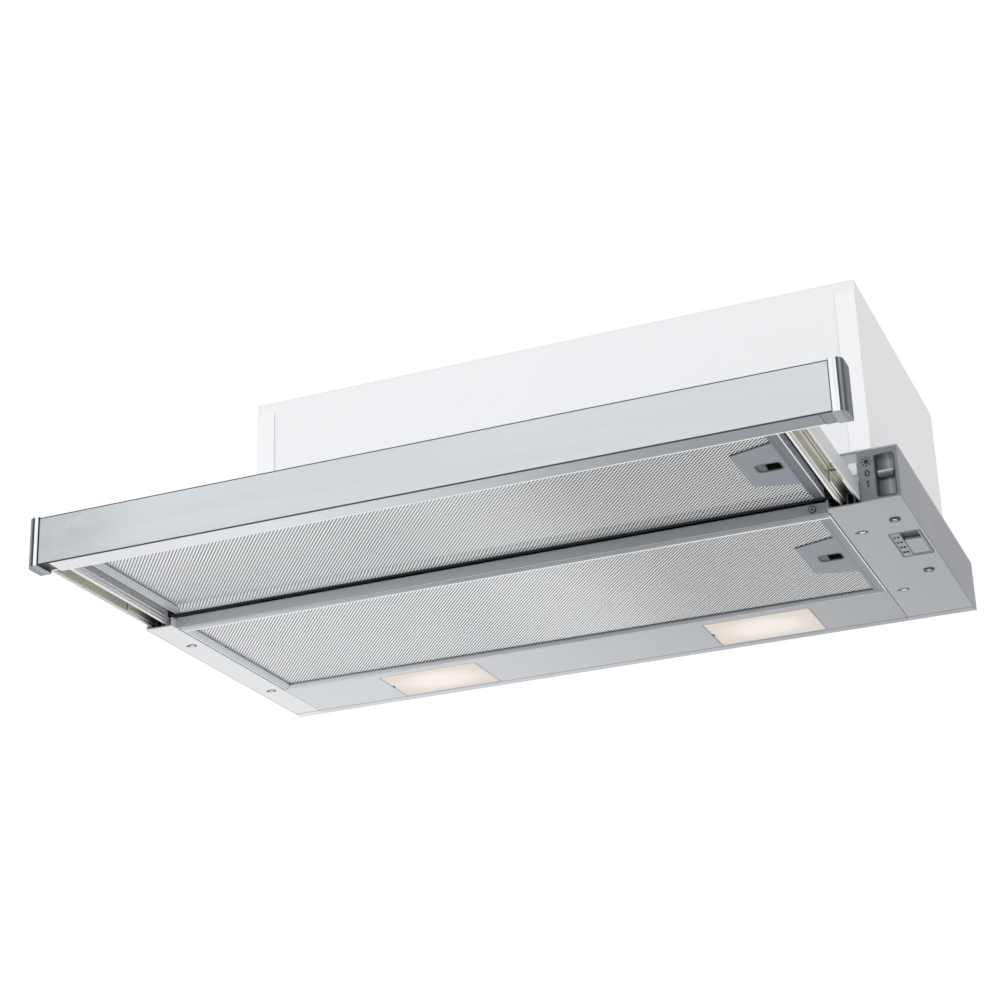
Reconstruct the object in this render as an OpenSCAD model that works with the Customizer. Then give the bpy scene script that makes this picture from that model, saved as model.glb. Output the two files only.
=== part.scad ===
// Pull-out range hood for a 600 mm wide wall cabinet, shown with its drawer pulled out.
// X runs along the hood, Y points into the wall and Z points up. The origin lies in the
// wall plane, at mid-width, at the height where the base meets the cabinet.

/* [Base housing] */
// Width of the base housing under the cabinet
base_w = 594; // [588:1:600]
// Depth of the base and of the upper body, from the wall to the front
body_d = 260; // [256:1:270]
// Height of the base below the cabinet
base_h = 39.5; // [39:0.5:44]
// Thickness of the steel sheet
sheet_t = 1; // [0.8:0.1:1.2]
// Width of the left underside panel
left_panel_w = 22.8; // [21:0.2:26]
// Width of the right underside panel, which carries the controls
right_panel_w = 52.8; // [50:0.2:58]
// Depth of the rear underside panel, which carries the lamps
rear_panel_d = 74.4; // [72:0.2:80]
// Height of the folds along the inner edges of the underside panels
panel_fold_h = 7; // [5:0.5:8]
// Height of the bar between the two filters
crossbar_h = 8.5; // [8:0.1:9]
// Thickness of the bar between the two filters
crossbar_t = 1.5; // [1:0.1:2]
// Distance of the bar behind the front plane of the base
crossbar_set = 6.5; // [6:0.1:9]
// Radius of the holes for the cabinet screws
cabinet_hole_r = 2.5; // [2:0.1:3]
// Distance of the cabinet screws from the sides of the base
cabinet_hole_side = 7; // [6:0.5:9]
// Distance of the front cabinet screws behind the front plane
cabinet_hole_front = 54; // [50:1:60]
// Distance of the rear cabinet screws from the wall
cabinet_hole_rear = 40; // [30:1:60]

/* [Upper body] */
// Height of the upper body above the cabinet seat
body_h = 132.5; // [130:0.5:160]
// Ledge left of the upper body
body_left_inset = 95.5; // [80:0.5:110]
// Ledge right of the upper body
body_right_inset = 18; // [16:0.5:24]
// Width of the front flanges of the side sheets
flange_w = 15; // [10:1:20]
// Distance of the flanges' top ends below the top of the body
flange_drop = 10; // [6:1:20]
// Margin of the air opening in the base inside the walls of the body
air_margin = 12; // [8:1:20]

/* [Air outlet] */
// Outer radius of the outlet collar
outlet_r = 59.5; // [58:0.5:61]
// Wall of the outlet collar
outlet_wall = 1.5; // [1.2:0.1:2]
// Height of the outlet collar above the body
outlet_len = 30; // [26:1:35]
// Distance of the outlet's axis from the wall
outlet_set = 82; // [76:1:90]
// Width of the collar's flange
outlet_flange_w = 7; // [5:1:10]
// Height of the flaps' hinge line above the body
flap_rise = 6; // [5:1:10]
// Thickness of the non-return flaps
flap_t = 1; // [0.8:0.1:1.2]

/* [Drawer] */
// Travel of the drawer from shut to pulled out
drawer_travel = 142.5; // [120:0.5:142.5]
// Gap left between the fascia and the base when the drawer is shut
shut_gap = 1; // [1:0.5:2]
// Overhang of the fascia's end caps beyond each side of the base
fascia_overhang = 2; // [1:0.5:3]
// Height of the fascia
fascia_h = 36; // [34:0.5:40]
// Depth of the fascia
fascia_d = 18.2; // [16:0.2:22]
// Drop of the fascia below the underside of the base
fascia_drop = 1.8; // [1:0.1:3]
// Wall of the fascia's hollow rail
rail_wall = 1.5; // [1.2:0.1:2]
// Distance by which the rail stops short of each end cap
rail_setback = 8.5; // [6:0.5:10]
// Width of each end cap
cap_w = 9.5; // [8:0.5:12]
// Radius of the end caps' outer corner
cap_corner_r = 6; // [4:0.5:7]
// Width of the drawer's side arms
arm_w = 15; // [14.5:0.1:15.5]
// Height of the drawer's side arms
arm_h = 13; // [12.6:0.1:13.4]
// Height of the arms' lower edge above the underside of the base
arm_rise = 3; // [2:0.5:3.5]
// Wall of the arms
arm_t = 1.2; // [1:0.1:1.4]
// Length of the arms that stays inside the base when the drawer is out
arm_tail = 100; // [80:1:105]
// Height of the drawer's cover above the underside of the base
cover_rise = 30; // [26:0.5:31]

/* [Runners] */
// Wall of the runner sections
runner_t = 1.2; // [1:0.1:1.3]
// Length of the middle runner
middle_runner_len = 200; // [160:1:205]
// Place of the middle runner's front end behind the front plane when shut
middle_runner_set = 36; // [30:1:40]
// Running gap between nested runner sections
runner_gap = 0.4; // [0.3:0.05:0.45]

/* [Filters] */
// Height of the filter cassettes
filter_t = 7; // [6.6:0.1:7.2]
// Width of the border of a filter cassette
filter_border = 8.5; // [8:0.5:12]
// Thickness of the folded lips that hold the mesh
filter_lip = 1.2; // [1:0.1:1.4]
// Gap at the free end of a filter
filter_end_gap = 1; // [0.8:0.1:1.5]
// Gap at the hinged end of a filter
filter_hinge_gap = 1.7; // [1.6:0.1:2.5]
// Gap in front of and behind a filter
filter_side_gap = 0.6; // [0.5:0.1:0.8]
// Height of the front filter above the underside of the base
front_filter_rise = 10; // [9.8:0.1:10.2]
// Radius of the filters' hinge pins
filter_pin_r = 1.5; // [1.2:0.1:1.8]
// Length of a handle plate at its fixed edge
handle_long = 76; // [66:1:84]
// Length of a handle plate at its free edge
handle_short = 57; // [50:1:62]
// Width of a handle plate
handle_w = 31; // [28:0.5:34]
// Width of the finger pocket
pocket_w = 18.5; // [17:0.5:20]
// Length of the finger pocket from front to back
pocket_d = 14; // [12:0.5:18]
// Width of the latch tab in the finger pocket
latch_w = 6; // [5:0.5:6.5]

/* [Controls] */
// Width of the switch housing at the right end
switch_w = 28.5; // [27:0.5:30]
// Depth of the front switch's recess
switch_recess = 5; // [4:0.5:7]
// Width of the light switch's slider
light_slider_w = 12.4; // [11:0.1:12.4]
// Height of the light switch's slider
light_slider_h = 7.4; // [6:0.1:9]
// Travel of the light switch's slider each way
light_travel = 8; // [6:0.5:9]
// Width of the speed switch's plate
speed_plate_w = 22.5; // [21:0.5:23.5]
// Length of the speed switch's plate
speed_plate_d = 50.5; // [48:0.5:54]
// Length of the speed switch's slider
speed_slider_d = 30; // [24:0.5:31]
// Travel of the speed switch's slider
speed_travel = 13.5; // [10:0.5:14]

/* [Lamps] */
// Width of the lamp windows
lamp_w = 87.5; // [84:0.5:92]
// Depth of the lamp windows
lamp_d = 56; // [52:0.5:58]
// Thickness of the lamp lenses
lens_t = 2.2; // [2:0.1:2.5]
// Height of the lamp boxes
lamp_box_h = 33; // [32:0.5:36]
// Radius of the lamp bulbs
bulb_r = 14; // [12:0.5:14]
// Length of a bulb's glass
bulb_len = 46; // [40:1:50]

/* [Blower] */
// Width of the blower housing
blower_w = 104; // [96:1:120]
// Height of the blower's axis above the cabinet seat
blower_rise = 66; // [64:0.5:68]
// Distance of the blower's axis from the wall
blower_set = 130; // [126:1:134]
// Radius of the scroll at its tongue
scroll_r = 57; // [55:0.5:58]
// Growth of the scroll's radius up to the outlet
scroll_growth = 24; // [18:0.5:26]
// Wall of the blower housing
blower_wall = 1.5; // [1.2:0.1:2]
// Radius of the impeller
impeller_r = 50; // [46:0.5:51]
// Number of impeller blades
blade_count = 24; // [18:1:30]
// Radius of the motor
motor_r = 30; // [26:0.5:31]
// Length of the motor
motor_len = 62; // [56:1:66]
// Radius of the motor shaft
shaft_r = 4; // [3:0.5:5]

/* [Mains and terminals] */
// Radius of the mains gland's bore
gland_bore_r = 4; // [3.5:0.1:5]
// Outer radius of the mains gland
gland_r = 9; // [8:0.5:12]
// Width of the terminal box
terminal_w = 60; // [50:1:70]
// Radius of the capacitor
capacitor_r = 14; // [10:0.5:16]

/* [Hidden] */
$fn = 64;

// Overrun of cutting shapes past the faces they cut
cut = 1;
// Gap around fitted pieces that can be taken out
fit_gap = 0.3;
// Radial clearance of a pin or shaft that turns
run_gap = 0.05;
// Seam between neighbouring underside panels, and the length at the wall where they meet
seam_gap = 0.5;
seam_end = 7;
// Gap beside the sliding arms
slide_gap = 0.5;

// Planes and edges of the housing
front_y = -body_d;
under_z = -base_h;
base_r = base_w / 2;
base_l = -base_r;
body_l = base_l + body_left_inset;
body_r = base_r - body_right_inset;
body_mid = (body_l + body_r) / 2;
seam_l = base_l + left_panel_w;
seam_r = base_r - right_panel_w;
rear_panel_y = -rear_panel_d;
switch_x = base_r - switch_w;

// Drawer, with the drawer pulled out, and the fascia's length between its end caps
fascia_w = base_w + 2 * fascia_overhang - 2 * cap_w;
fascia_back = front_y - shut_gap - drawer_travel;
fascia_front = fascia_back - fascia_d;
fascia_z = under_z - fascia_drop;
arm_left_x = base_l + sheet_t + slide_gap;
arm_right_x = switch_x - slide_gap - arm_w;
arm_z = under_z + arm_rise;
arm_top = arm_z + arm_h;
// Thickness of the brushed face sheet
face_t = 1;
// End caps: how far they stand proud, and their plugs and grooves
cap_proud = 0.8;
cap_plug_gap = 2;
cap_groove_w = 0.6;

// Nested runner sections: the drawer's, the middle and the fixed one
drawer_runner_w = arm_w - 2 * arm_t;
drawer_runner_top = arm_top - arm_t;
middle_runner_w = drawer_runner_w - 2 * runner_t - 2 * runner_gap;
middle_runner_top = drawer_runner_top - runner_t - runner_gap;
fixed_runner_w = middle_runner_w - 2 * runner_t - 2 * runner_gap;
fixed_runner_top = middle_runner_top - runner_t - runner_gap;
runner_lift = 1;
runner_end = 4;
rivet_r = 1.6;
rivet_h = 0.8;
rivet_places = [9, 20];

// Tabs and screws of the underside panels
tab_w = 8;
tab_d = 3;
tab_rise = 0.8;
tab_root = 1.5;
tab_gap = 0.3;
right_tab_in = 10.4;
right_tab_x = seam_r + right_tab_in;
right_tab_places = [52.8, 184.9];
left_tab_x = base_l + left_panel_w / 2;
left_tab_places = [46.9, 180.8];
screw_head_r = 4;
screw_head_h = 0.8;
screw_slot = 0.9;
screw_shank_r = 1.8;
screw_len = 7;
panel_screw_side = 14.4;
panel_screw_x = base_r - panel_screw_side;
panel_screw_places = [39.8, 151.2];
crossbar_screw_in = 11.7;
crossbar_screw_x = seam_r - crossbar_screw_in;
crossbar_screw_r = 2.7;
crossbar_socket_r = 0.9;
crossbar_screw_h = 1;
crossbar_top_d = 6.5;
crossbar_top_in = 8;

// Filters
filter_l = seam_l + filter_hinge_gap;
filter_r = seam_r - filter_end_gap;
filter_pin_in = 2.5;
filter_pin_x = filter_l + filter_pin_in;
filter_pin_len = 1.6;
mesh_hold = 3;
mesh_layers = 3;
mesh_layer_t = 0.4;
front_filter_z = under_z + front_filter_rise;
rear_bar_t = 1.2;
rear_bar_rise = 9.5;
rear_bar_gap = 1.2;
rear_bar_y = front_y + crossbar_set - rear_bar_gap - rear_bar_t;
front_filter_y = [fascia_back + filter_side_gap, rear_bar_y - filter_side_gap];
rear_filter_y = [front_y + crossbar_set + crossbar_t + filter_side_gap, rear_panel_y - filter_side_gap];
// Handles beside the middles of their filters
front_handle_shift = 3.2;
rear_handle_shift = -3.3;
front_handle_y = (front_filter_y[0] + front_filter_y[1]) / 2 + front_handle_shift;
rear_handle_y = (rear_filter_y[0] + rear_filter_y[1]) / 2 + rear_handle_shift;
plate_t = 1;
plate_set = 0.2;
pocket_wall = 0.8;
pocket_depth = 6;
pocket_set = 9.8;
latch_t = 2.4;
latch_set = 0.6;

// Controls
recess_in = 12;
recess_side = 2.5;
recess_low = 3;
recess_high = 6;
light_slider_rise = 20;
light_slider_z = under_z + light_slider_rise;
light_slider_set = 0.8;
switch_floor = 1;
light_block_w = 22;
light_block_d = 30;
light_block_h = 30;
speed_plate_side = 3;
speed_plate_set = 67;
speed_plate_x = base_r - speed_plate_side - speed_plate_w;
speed_plate_y = front_y + speed_plate_set;
speed_plate_t = 4;
speed_icon_w = 7.5;
speed_rim = 2;
speed_recess = 2.5;
speed_slider_set = 0.6;
speed_slider_t = 1.6;
speed_block_h = 22;
speed_block_in = 1.5;
stem_r = 1.2;

// Lamps
lamp_left_in = 128.2;
lamp_right_in = 108.2;
lamp_left_x = seam_l + lamp_left_in;
lamp_right_x = seam_r - lamp_right_in;
lamp_set = 39;
lamp_y = -lamp_set;
lens_gap = 0.5;
lens_lip = 3;
notch_w = 6;
notch_d = 1.8;
lamp_box_side = 3;
lamp_box_lip_side = 5;
bulb_rise = 18;
holder_r = 12;
holder_len = 16;
bulb_cap_r = 7;
bulb_cap_len = 12;
bulb_tip_r = 3;
// Profile of a bulb's glass, as shares of its radius and its length
bulb_profile_shares = [[0.8, 0.2], [1, 0.4], [0.9, 0.6], [0.6, 0.8]];

// Blower
blower_x = body_mid - blower_w / 2;
blower_y = -blower_set;
// Middle of the impeller along X
hub_x = blower_x + blower_w / 2;
scroll_steps = 36;
scroll_sweep = 270;
scroll_flange_w = 6;
tongue_in = 6;
inlet_r = 42;
impeller_gap = 4;
impeller_ring_w = 10;
impeller_ring_t = 2;
blade_t = 1;
blade_w = 9;
blade_pitch_angle = 35;
hub_r = 12;
hub_len = 16;
hub_disc_t = 2;
bracket_t = 3;
bracket_ring_w = 4;
bracket_arm_w = 8;
bracket_arms = 3;
motor_gap = 7;
shaft_in = 34;
shaft_end_gap = 1;

// Mains, terminals and collar
gland_in = 40;
gland_set = 40;
gland_x = body_l + gland_in;
gland_y = -gland_set;
gland_thread_r = 6;
gland_head_h = 6;
gland_nut_h = 5;
gland_thread_len = 10;
terminal_in = 20;
terminal_x = body_l + terminal_in;
terminal_d = 34;
terminal_h = 40;
terminal_z = 60;
terminal_lid_t = 2;
terminal_screw_shares = [0.25, 0.75];
capacitor_len = 60;
capacitor_in = 90;
capacitor_x = body_r - capacitor_in;
capacitor_z = 80;
clip_w = 10;
clip_t = 1;
flap_gap = 0.8;
flap_axis = 2.2;
flap_barrel_r = 1.4;
flap_pin_r = 0.9;

// Box between two corners
module span(a, b) {
    translate(a) cube(b - a);
}

// Cylinder along X from point a, with length len and radius r
module rod_x(a, len, r) {
    translate(a) rotate([0, 90, 0]) cylinder(h = len, r = r);
}

// Cylinder along Y from point a, with length len and radius r
module rod_y(a, len, r) {
    translate(a) rotate([-90, 0, 0]) cylinder(h = len, r = r);
}

// Channel along Y that is open downwards, w wide, between the heights low and top
module channel(x, w, y0, y1, low, top, t) {
    difference() {
        span([x, y0, low], [x + w, y1, top]);
        span([x + t, y0 - cut, low - cut], [x + w - t, y1 + cut, top - t]);
    }
}

// Base housing

module base_top_plate() {
    color("silver") difference() {
        span([base_l, front_y, -sheet_t], [base_r, -sheet_t, 0]);
        span([body_l + air_margin, front_y + air_margin, -sheet_t - cut],
            [body_r - air_margin, -sheet_t - air_margin, cut]);
        for (side = [-1, 1], y = [front_y + cabinet_hole_front, -cabinet_hole_rear])
            translate([side * (base_r - cabinet_hole_side), y, -sheet_t - cut])
                cylinder(h = sheet_t + 2 * cut, r = cabinet_hole_r);
    }
}

module base_side_left() {
    color("silver") {
        span([base_l, front_y, under_z], [base_l + sheet_t, -sheet_t, -sheet_t]);
        span([base_l, -sheet_t, under_z], [body_l - fit_gap, 0, -sheet_t]);
    }
}

module base_side_right() {
    color("silver") {
        span([base_r - sheet_t, front_y, under_z], [base_r, -sheet_t, -sheet_t]);
        span([body_r + fit_gap, -sheet_t, under_z], [base_r, 0, -sheet_t]);
    }
}

// Lanced tab of an underside panel: a slot with a tongue bent out below it
module tab_slot(x, y) {
    span([x - tab_w / 2, y, under_z - cut], [x + tab_w / 2, y + tab_d, under_z + sheet_t + cut]);
}

module tab_tongue(x, y) {
    span([x - tab_w / 2 - tab_root, y + tab_gap, under_z + sheet_t],
        [x + tab_w / 2 - tab_gap, y + tab_d - tab_gap, under_z + sheet_t + tab_rise]);
}

module underside_panel_left() {
    color("gainsboro") {
        difference() {
            union() {
                span([base_l + sheet_t, front_y, under_z], [seam_l, -sheet_t, under_z + sheet_t]);
                span([seam_l - sheet_t, front_y, under_z], [seam_l, rear_panel_y, under_z + panel_fold_h]);
            }
            for (d = left_tab_places) tab_slot(left_tab_x, front_y + d);
        }
        for (d = left_tab_places) tab_tongue(left_tab_x, front_y + d);
    }
}

module underside_panel_right() {
    color("silver") {
        difference() {
            union() {
                span([seam_r, front_y, under_z], [base_r - sheet_t, -sheet_t, under_z + sheet_t]);
                span([seam_r, front_y, under_z], [seam_r + sheet_t, rear_panel_y, under_z + panel_fold_h]);
            }
            for (d = right_tab_places) tab_slot(right_tab_x, front_y + d);
            for (d = panel_screw_places) translate([panel_screw_x, front_y + d, under_z - cut])
                cylinder(h = sheet_t + 2 * cut, r = screw_shank_r + fit_gap);
            span([speed_plate_x - fit_gap, speed_plate_y - fit_gap, under_z - cut],
                [speed_plate_x + speed_plate_w + fit_gap, speed_plate_y + speed_plate_d + fit_gap,
                under_z + sheet_t + cut]);
        }
        for (d = right_tab_places) tab_tongue(right_tab_x, front_y + d);
    }
}

module underside_panel_rear() {
    color("gainsboro") difference() {
        union() {
            span([seam_l + seam_gap, rear_panel_y, under_z],
                [seam_r - seam_gap, -sheet_t, under_z + sheet_t]);
            span([seam_l, -seam_end, under_z], [seam_r, -sheet_t, under_z + sheet_t]);
            span([seam_l + seam_gap, rear_panel_y, under_z],
                [seam_r - seam_gap, rear_panel_y + sheet_t, under_z + panel_fold_h]);
        }
        for (x = [lamp_left_x, lamp_right_x])
            span([x - lamp_w / 2, lamp_y - lamp_d / 2, under_z - cut],
                [x + lamp_w / 2, lamp_y + lamp_d / 2, under_z + sheet_t + cut]);
        rod_y([filter_pin_x, rear_panel_y - cut, under_z + filter_pin_in], sheet_t + 2 * cut,
            filter_pin_r + run_gap);
    }
}

module crossbar() {
    color("silver") difference() {
        union() {
            span([seam_l, front_y + crossbar_set, under_z],
                [seam_r, front_y + crossbar_set + crossbar_t, under_z + crossbar_h]);
            span([seam_l + crossbar_top_in, front_y + crossbar_set, under_z + crossbar_h - sheet_t],
                [seam_r, front_y + crossbar_set + crossbar_top_d, under_z + crossbar_h]);
        }
        rod_y([filter_pin_x, front_y + crossbar_set - cut, under_z + filter_pin_in],
            crossbar_t + 2 * cut, filter_pin_r + run_gap);
    }
}

module crossbar_screw() {
    color("dimgray") difference() {
        rod_y([crossbar_screw_x, front_y + crossbar_set - crossbar_screw_h, under_z + crossbar_h / 2],
            crossbar_screw_h, crossbar_screw_r);
        rod_y([crossbar_screw_x, front_y + crossbar_set - crossbar_screw_h - cut,
            under_z + crossbar_h / 2], cut + crossbar_screw_h / 2, crossbar_socket_r);
    }
}

module panel_screws() {
    color("dimgray") for (d = panel_screw_places) translate([panel_screw_x, front_y + d, under_z]) {
        difference() {
            translate([0, 0, -screw_head_h]) cylinder(h = screw_head_h, r = screw_head_r);
            span([-screw_head_r - cut, -screw_slot / 2, -screw_head_h - cut],
                [screw_head_r + cut, screw_slot / 2, -screw_head_h / 2]);
        }
        cylinder(h = screw_len, r = screw_shank_r);
    }
}

// Upper body

module body_front_sheet() {
    color("white") span([body_l + sheet_t, front_y + sheet_t, 0],
        [body_r - sheet_t, front_y + 2 * sheet_t, body_h - sheet_t]);
}

module body_side_left() {
    color("white") {
        span([body_l, front_y + sheet_t, 0], [body_l + sheet_t, -sheet_t, body_h - sheet_t]);
        span([body_l, front_y, 0], [body_l + flange_w, front_y + sheet_t, body_h - flange_drop]);
    }
}

module body_side_right() {
    color("white") {
        span([body_r - sheet_t, front_y + sheet_t, 0], [body_r, -sheet_t, body_h - sheet_t]);
        span([body_r - flange_w, front_y, 0], [body_r, front_y + sheet_t, body_h - flange_drop]);
    }
}

module body_back_sheet() {
    color("whitesmoke") span([body_l, -sheet_t, under_z], [body_r, 0, body_h - sheet_t]);
}

module body_top_sheet() {
    color("white") difference() {
        span([body_l, front_y + sheet_t, body_h - sheet_t], [body_r, 0, body_h]);
        translate([body_mid, -outlet_set, body_h - sheet_t - cut])
            cylinder(h = sheet_t + 2 * cut, r = outlet_r - outlet_wall);
        translate([gland_x, gland_y, body_h - sheet_t - cut])
            cylinder(h = sheet_t + 2 * cut, r = gland_thread_r);
    }
}

// Air outlet

module outlet_collar() {
    color("dimgray") translate([body_mid, -outlet_set, body_h]) difference() {
        union() {
            cylinder(h = outlet_wall, r = outlet_r + outlet_flange_w);
            cylinder(h = outlet_len, r = outlet_r);
        }
        translate([0, 0, -cut]) cylinder(h = outlet_len + 2 * cut, r = outlet_r - outlet_wall);
        for (side = [-1, 1])
            rod_x([-outlet_r - cut, side * flap_axis, flap_rise], 2 * outlet_r + 2 * cut,
                flap_pin_r + run_gap);
    }
}

// Half-round flap that turns on a pin beside the collar's middle line
module flap(side) {
    axis_half = sqrt(pow(outlet_r - outlet_wall - flap_gap, 2) - pow(flap_axis, 2));
    color("gray") translate([body_mid, -outlet_set, body_h + flap_rise]) {
        intersection() {
            translate([0, 0, -flap_t / 2]) cylinder(h = flap_t, r = outlet_r - outlet_wall - flap_gap);
            translate([0, side * (flap_axis + outlet_r), 0]) cube(2 * outlet_r, center = true);
        }
        rod_x([-axis_half, side * flap_axis, 0], 2 * axis_half, flap_barrel_r);
        rod_x([-outlet_r, side * flap_axis, 0], 2 * outlet_r, flap_pin_r);
    }
}

module flap_front() {
    flap(-1);
}

module flap_rear() {
    flap(1);
}

// Mains inlet, terminals and capacitor

module mains_gland() {
    color("black") translate([gland_x, gland_y, body_h]) difference() {
        union() {
            cylinder(h = gland_head_h, r = gland_r);
            translate([0, 0, -gland_thread_len]) cylinder(h = gland_thread_len, r = gland_thread_r);
            translate([0, 0, -sheet_t - gland_nut_h]) cylinder(h = gland_nut_h, r = gland_r);
        }
        translate([0, 0, -gland_thread_len - cut])
            cylinder(h = gland_thread_len + gland_head_h + 2 * cut, r = gland_bore_r);
    }
}

module terminal_box() {
    color("lightgray") difference() {
        span([terminal_x, -sheet_t - terminal_d, terminal_z],
            [terminal_x + terminal_w, -sheet_t, terminal_z + terminal_h]);
        for (s = terminal_screw_shares)
            rod_y([terminal_x + terminal_w * s, -sheet_t - terminal_d - cut, terminal_z + terminal_h / 2],
                cut + terminal_lid_t, screw_head_r);
    }
}

module capacitor() {
    color("white") rod_x([capacitor_x, -sheet_t - capacitor_r, capacitor_z], capacitor_len, capacitor_r);
    color("silver") difference() {
        rod_x([capacitor_x + capacitor_len / 2 - clip_w / 2, -sheet_t - capacitor_r, capacitor_z],
            clip_w, capacitor_r + clip_t);
        span([capacitor_x, -sheet_t, capacitor_z - 2 * capacitor_r],
            [capacitor_x + capacitor_len, capacitor_r, capacitor_z + 2 * capacitor_r]);
    }
}

// Blower

// Spiral outline in the plane of Y and Z: it starts over the axis, runs round the front and
// the underside with a steadily growing radius, and rises straight to the outlet at the rear
function scroll_point(a, inset) =
    let (r = scroll_r + scroll_growth * a / scroll_sweep - inset)
    [blower_y + r * cos(90 + a), blower_rise + r * sin(90 + a)];

function scroll_outline(inset, top) = concat(
    [for (i = [0:scroll_steps]) scroll_point(scroll_sweep * i / scroll_steps, inset)],
    [[blower_y + scroll_r + scroll_growth - inset, top], [blower_y + tongue_in + inset, top],
    [blower_y + tongue_in + inset, blower_rise + scroll_r - inset]]);

// Solid of the scroll's outline from x, len long
module scroll_solid(x, len, inset, top) {
    translate([x, 0, 0]) rotate([90, 0, 90]) linear_extrude(height = len)
        polygon(scroll_outline(inset, top));
}

module blower_scroll() {
    top = body_h - sheet_t;
    color("darkgray") difference() {
        union() {
            scroll_solid(blower_x, blower_w - blower_wall, 0, top);
            span([blower_x, blower_y + tongue_in - scroll_flange_w, top - blower_wall],
                [blower_x + blower_w - blower_wall, blower_y + scroll_r + scroll_growth + scroll_flange_w,
                top]);
        }
        scroll_solid(blower_x + blower_wall, blower_w, blower_wall, top + cut);
        rod_x([blower_x - cut, blower_y, blower_rise], blower_wall + 2 * cut, inlet_r);
    }
}

module blower_side_plate() {
    color("gray") difference() {
        scroll_solid(blower_x + blower_w - blower_wall, blower_wall, 0, body_h - sheet_t);
        rod_x([blower_x, blower_y, blower_rise], blower_w + cut, inlet_r);
    }
}

module motor_bracket() {
    color("silver") translate([blower_x - bracket_t, blower_y, blower_rise]) difference() {
        union() {
            rod_x([0, 0, 0], bracket_t, motor_r + bracket_ring_w);
            difference() {
                rod_x([0, 0, 0], bracket_t, inlet_r + bracket_ring_w);
                rod_x([-cut, 0, 0], bracket_t + 2 * cut, inlet_r - bracket_ring_w / 2);
            }
            for (i = [0:bracket_arms - 1]) rotate([360 * i / bracket_arms, 0, 0])
                span([0, -bracket_arm_w / 2, motor_r], [bracket_t, bracket_arm_w / 2, inlet_r]);
        }
        rod_x([-cut, 0, 0], bracket_t + 2 * cut, motor_r);
    }
}

module motor() {
    color("darkslategray") difference() {
        rod_x([hub_x - motor_gap - motor_len, blower_y, blower_rise], motor_len, motor_r);
        rod_x([hub_x - motor_gap - shaft_in, blower_y, blower_rise], shaft_in + cut, shaft_r + run_gap);
    }
}

module motor_shaft() {
    start = hub_x - motor_gap - shaft_in + shaft_end_gap;
    color("silver") rod_x([start, blower_y, blower_rise], hub_x + hub_len - start, shaft_r);
}

module impeller() {
    half = blower_w / 2 - blower_wall - impeller_gap;
    blade_end = half - impeller_ring_t / 2;
    color("dimgray") translate([hub_x, blower_y, blower_rise]) difference() {
        union() {
            rod_x([0, 0, 0], hub_len, hub_r);
            rod_x([0, 0, 0], hub_disc_t, impeller_r - blade_t);
            for (x = [-half, half - impeller_ring_t]) difference() {
                rod_x([x, 0, 0], impeller_ring_t, impeller_r);
                rod_x([x - cut, 0, 0], impeller_ring_t + 2 * cut, impeller_r - impeller_ring_w);
            }
            for (i = [0:blade_count - 1]) rotate([360 * i / blade_count, 0, 0])
                translate([0, 0, impeller_r - blade_t - blade_w / 2]) rotate([blade_pitch_angle, 0, 0])
                    span([-blade_end, -blade_t / 2, -blade_w / 2], [blade_end, blade_t / 2, blade_w / 2]);
        }
        rod_x([-cut, 0, 0], hub_len + 2 * cut, shaft_r);
    }
}

// Lamps

module lamp_boxes() {
    color("silver") for (x = [lamp_left_x, lamp_right_x]) difference() {
        span([x - lamp_w / 2 - lamp_box_side, lamp_y - lamp_d / 2 - lamp_box_side, under_z + sheet_t],
            [x + lamp_w / 2 + lamp_box_lip_side, lamp_y + lamp_d / 2 + lamp_box_side,
            under_z + sheet_t + lamp_box_h]);
        span([x - lamp_w / 2 - lamp_box_side + sheet_t, lamp_y - lamp_d / 2 - lamp_box_side + sheet_t,
            under_z], [x + lamp_w / 2 + lamp_box_lip_side - sheet_t,
            lamp_y + lamp_d / 2 + lamp_box_side - sheet_t, under_z + lamp_box_h]);
    }
}

module lamp_holders() {
    color("white") for (x = [lamp_left_x, lamp_right_x])
        translate([x + lamp_w / 2 + lamp_box_lip_side - sheet_t - holder_len, lamp_y, under_z + bulb_rise])
            difference() {
                rod_x([0, 0, 0], holder_len, holder_r);
                rod_x([-cut, 0, 0], bulb_cap_len + cut, bulb_cap_r);
            }
}

module lamp_bulbs() {
    for (x = [lamp_left_x, lamp_right_x])
        translate([x + lamp_w / 2 + lamp_box_lip_side - sheet_t - holder_len + bulb_cap_len, lamp_y,
            under_z + bulb_rise]) rotate([0, -90, 0]) {
                color("gold") cylinder(h = bulb_cap_len, r = bulb_cap_r);
                color("ivory") translate([0, 0, bulb_cap_len]) rotate_extrude()
                    polygon(concat([[0, 0], [bulb_cap_r, 0]],
                        [for (s = bulb_profile_shares) [bulb_r * s[0], bulb_len * s[1]]],
                        [[bulb_tip_r, bulb_len], [0, bulb_len]]));
            }
}

// Lens that tilts on its rounded right edge, with a lip that hooks over the edge of its window
module lamp_lens(x) {
    left = x - lamp_w / 2 + lens_gap;
    right = x + lamp_w / 2;
    hinge_x = right - lens_gap - lens_t / 2;
    front = lamp_y - lamp_d / 2 + lens_gap;
    color("floralwhite") difference() {
        union() {
            span([left, front, under_z], [hinge_x, front + lamp_d - 2 * lens_gap, under_z + lens_t]);
            rod_y([hinge_x, front, under_z + lens_t / 2], lamp_d - 2 * lens_gap, lens_t / 2);
            span([hinge_x, front, under_z + sheet_t + run_gap],
                [right + lens_lip, front + lamp_d - 2 * lens_gap, under_z + lens_t]);
        }
        span([left - cut, lamp_y - notch_w / 2, under_z - cut],
            [left + notch_d, lamp_y + notch_w / 2, under_z + lens_t + cut]);
    }
}

module lamp_lens_left() {
    lamp_lens(lamp_left_x);
}

module lamp_lens_right() {
    lamp_lens(lamp_right_x);
}

// Controls

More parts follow.
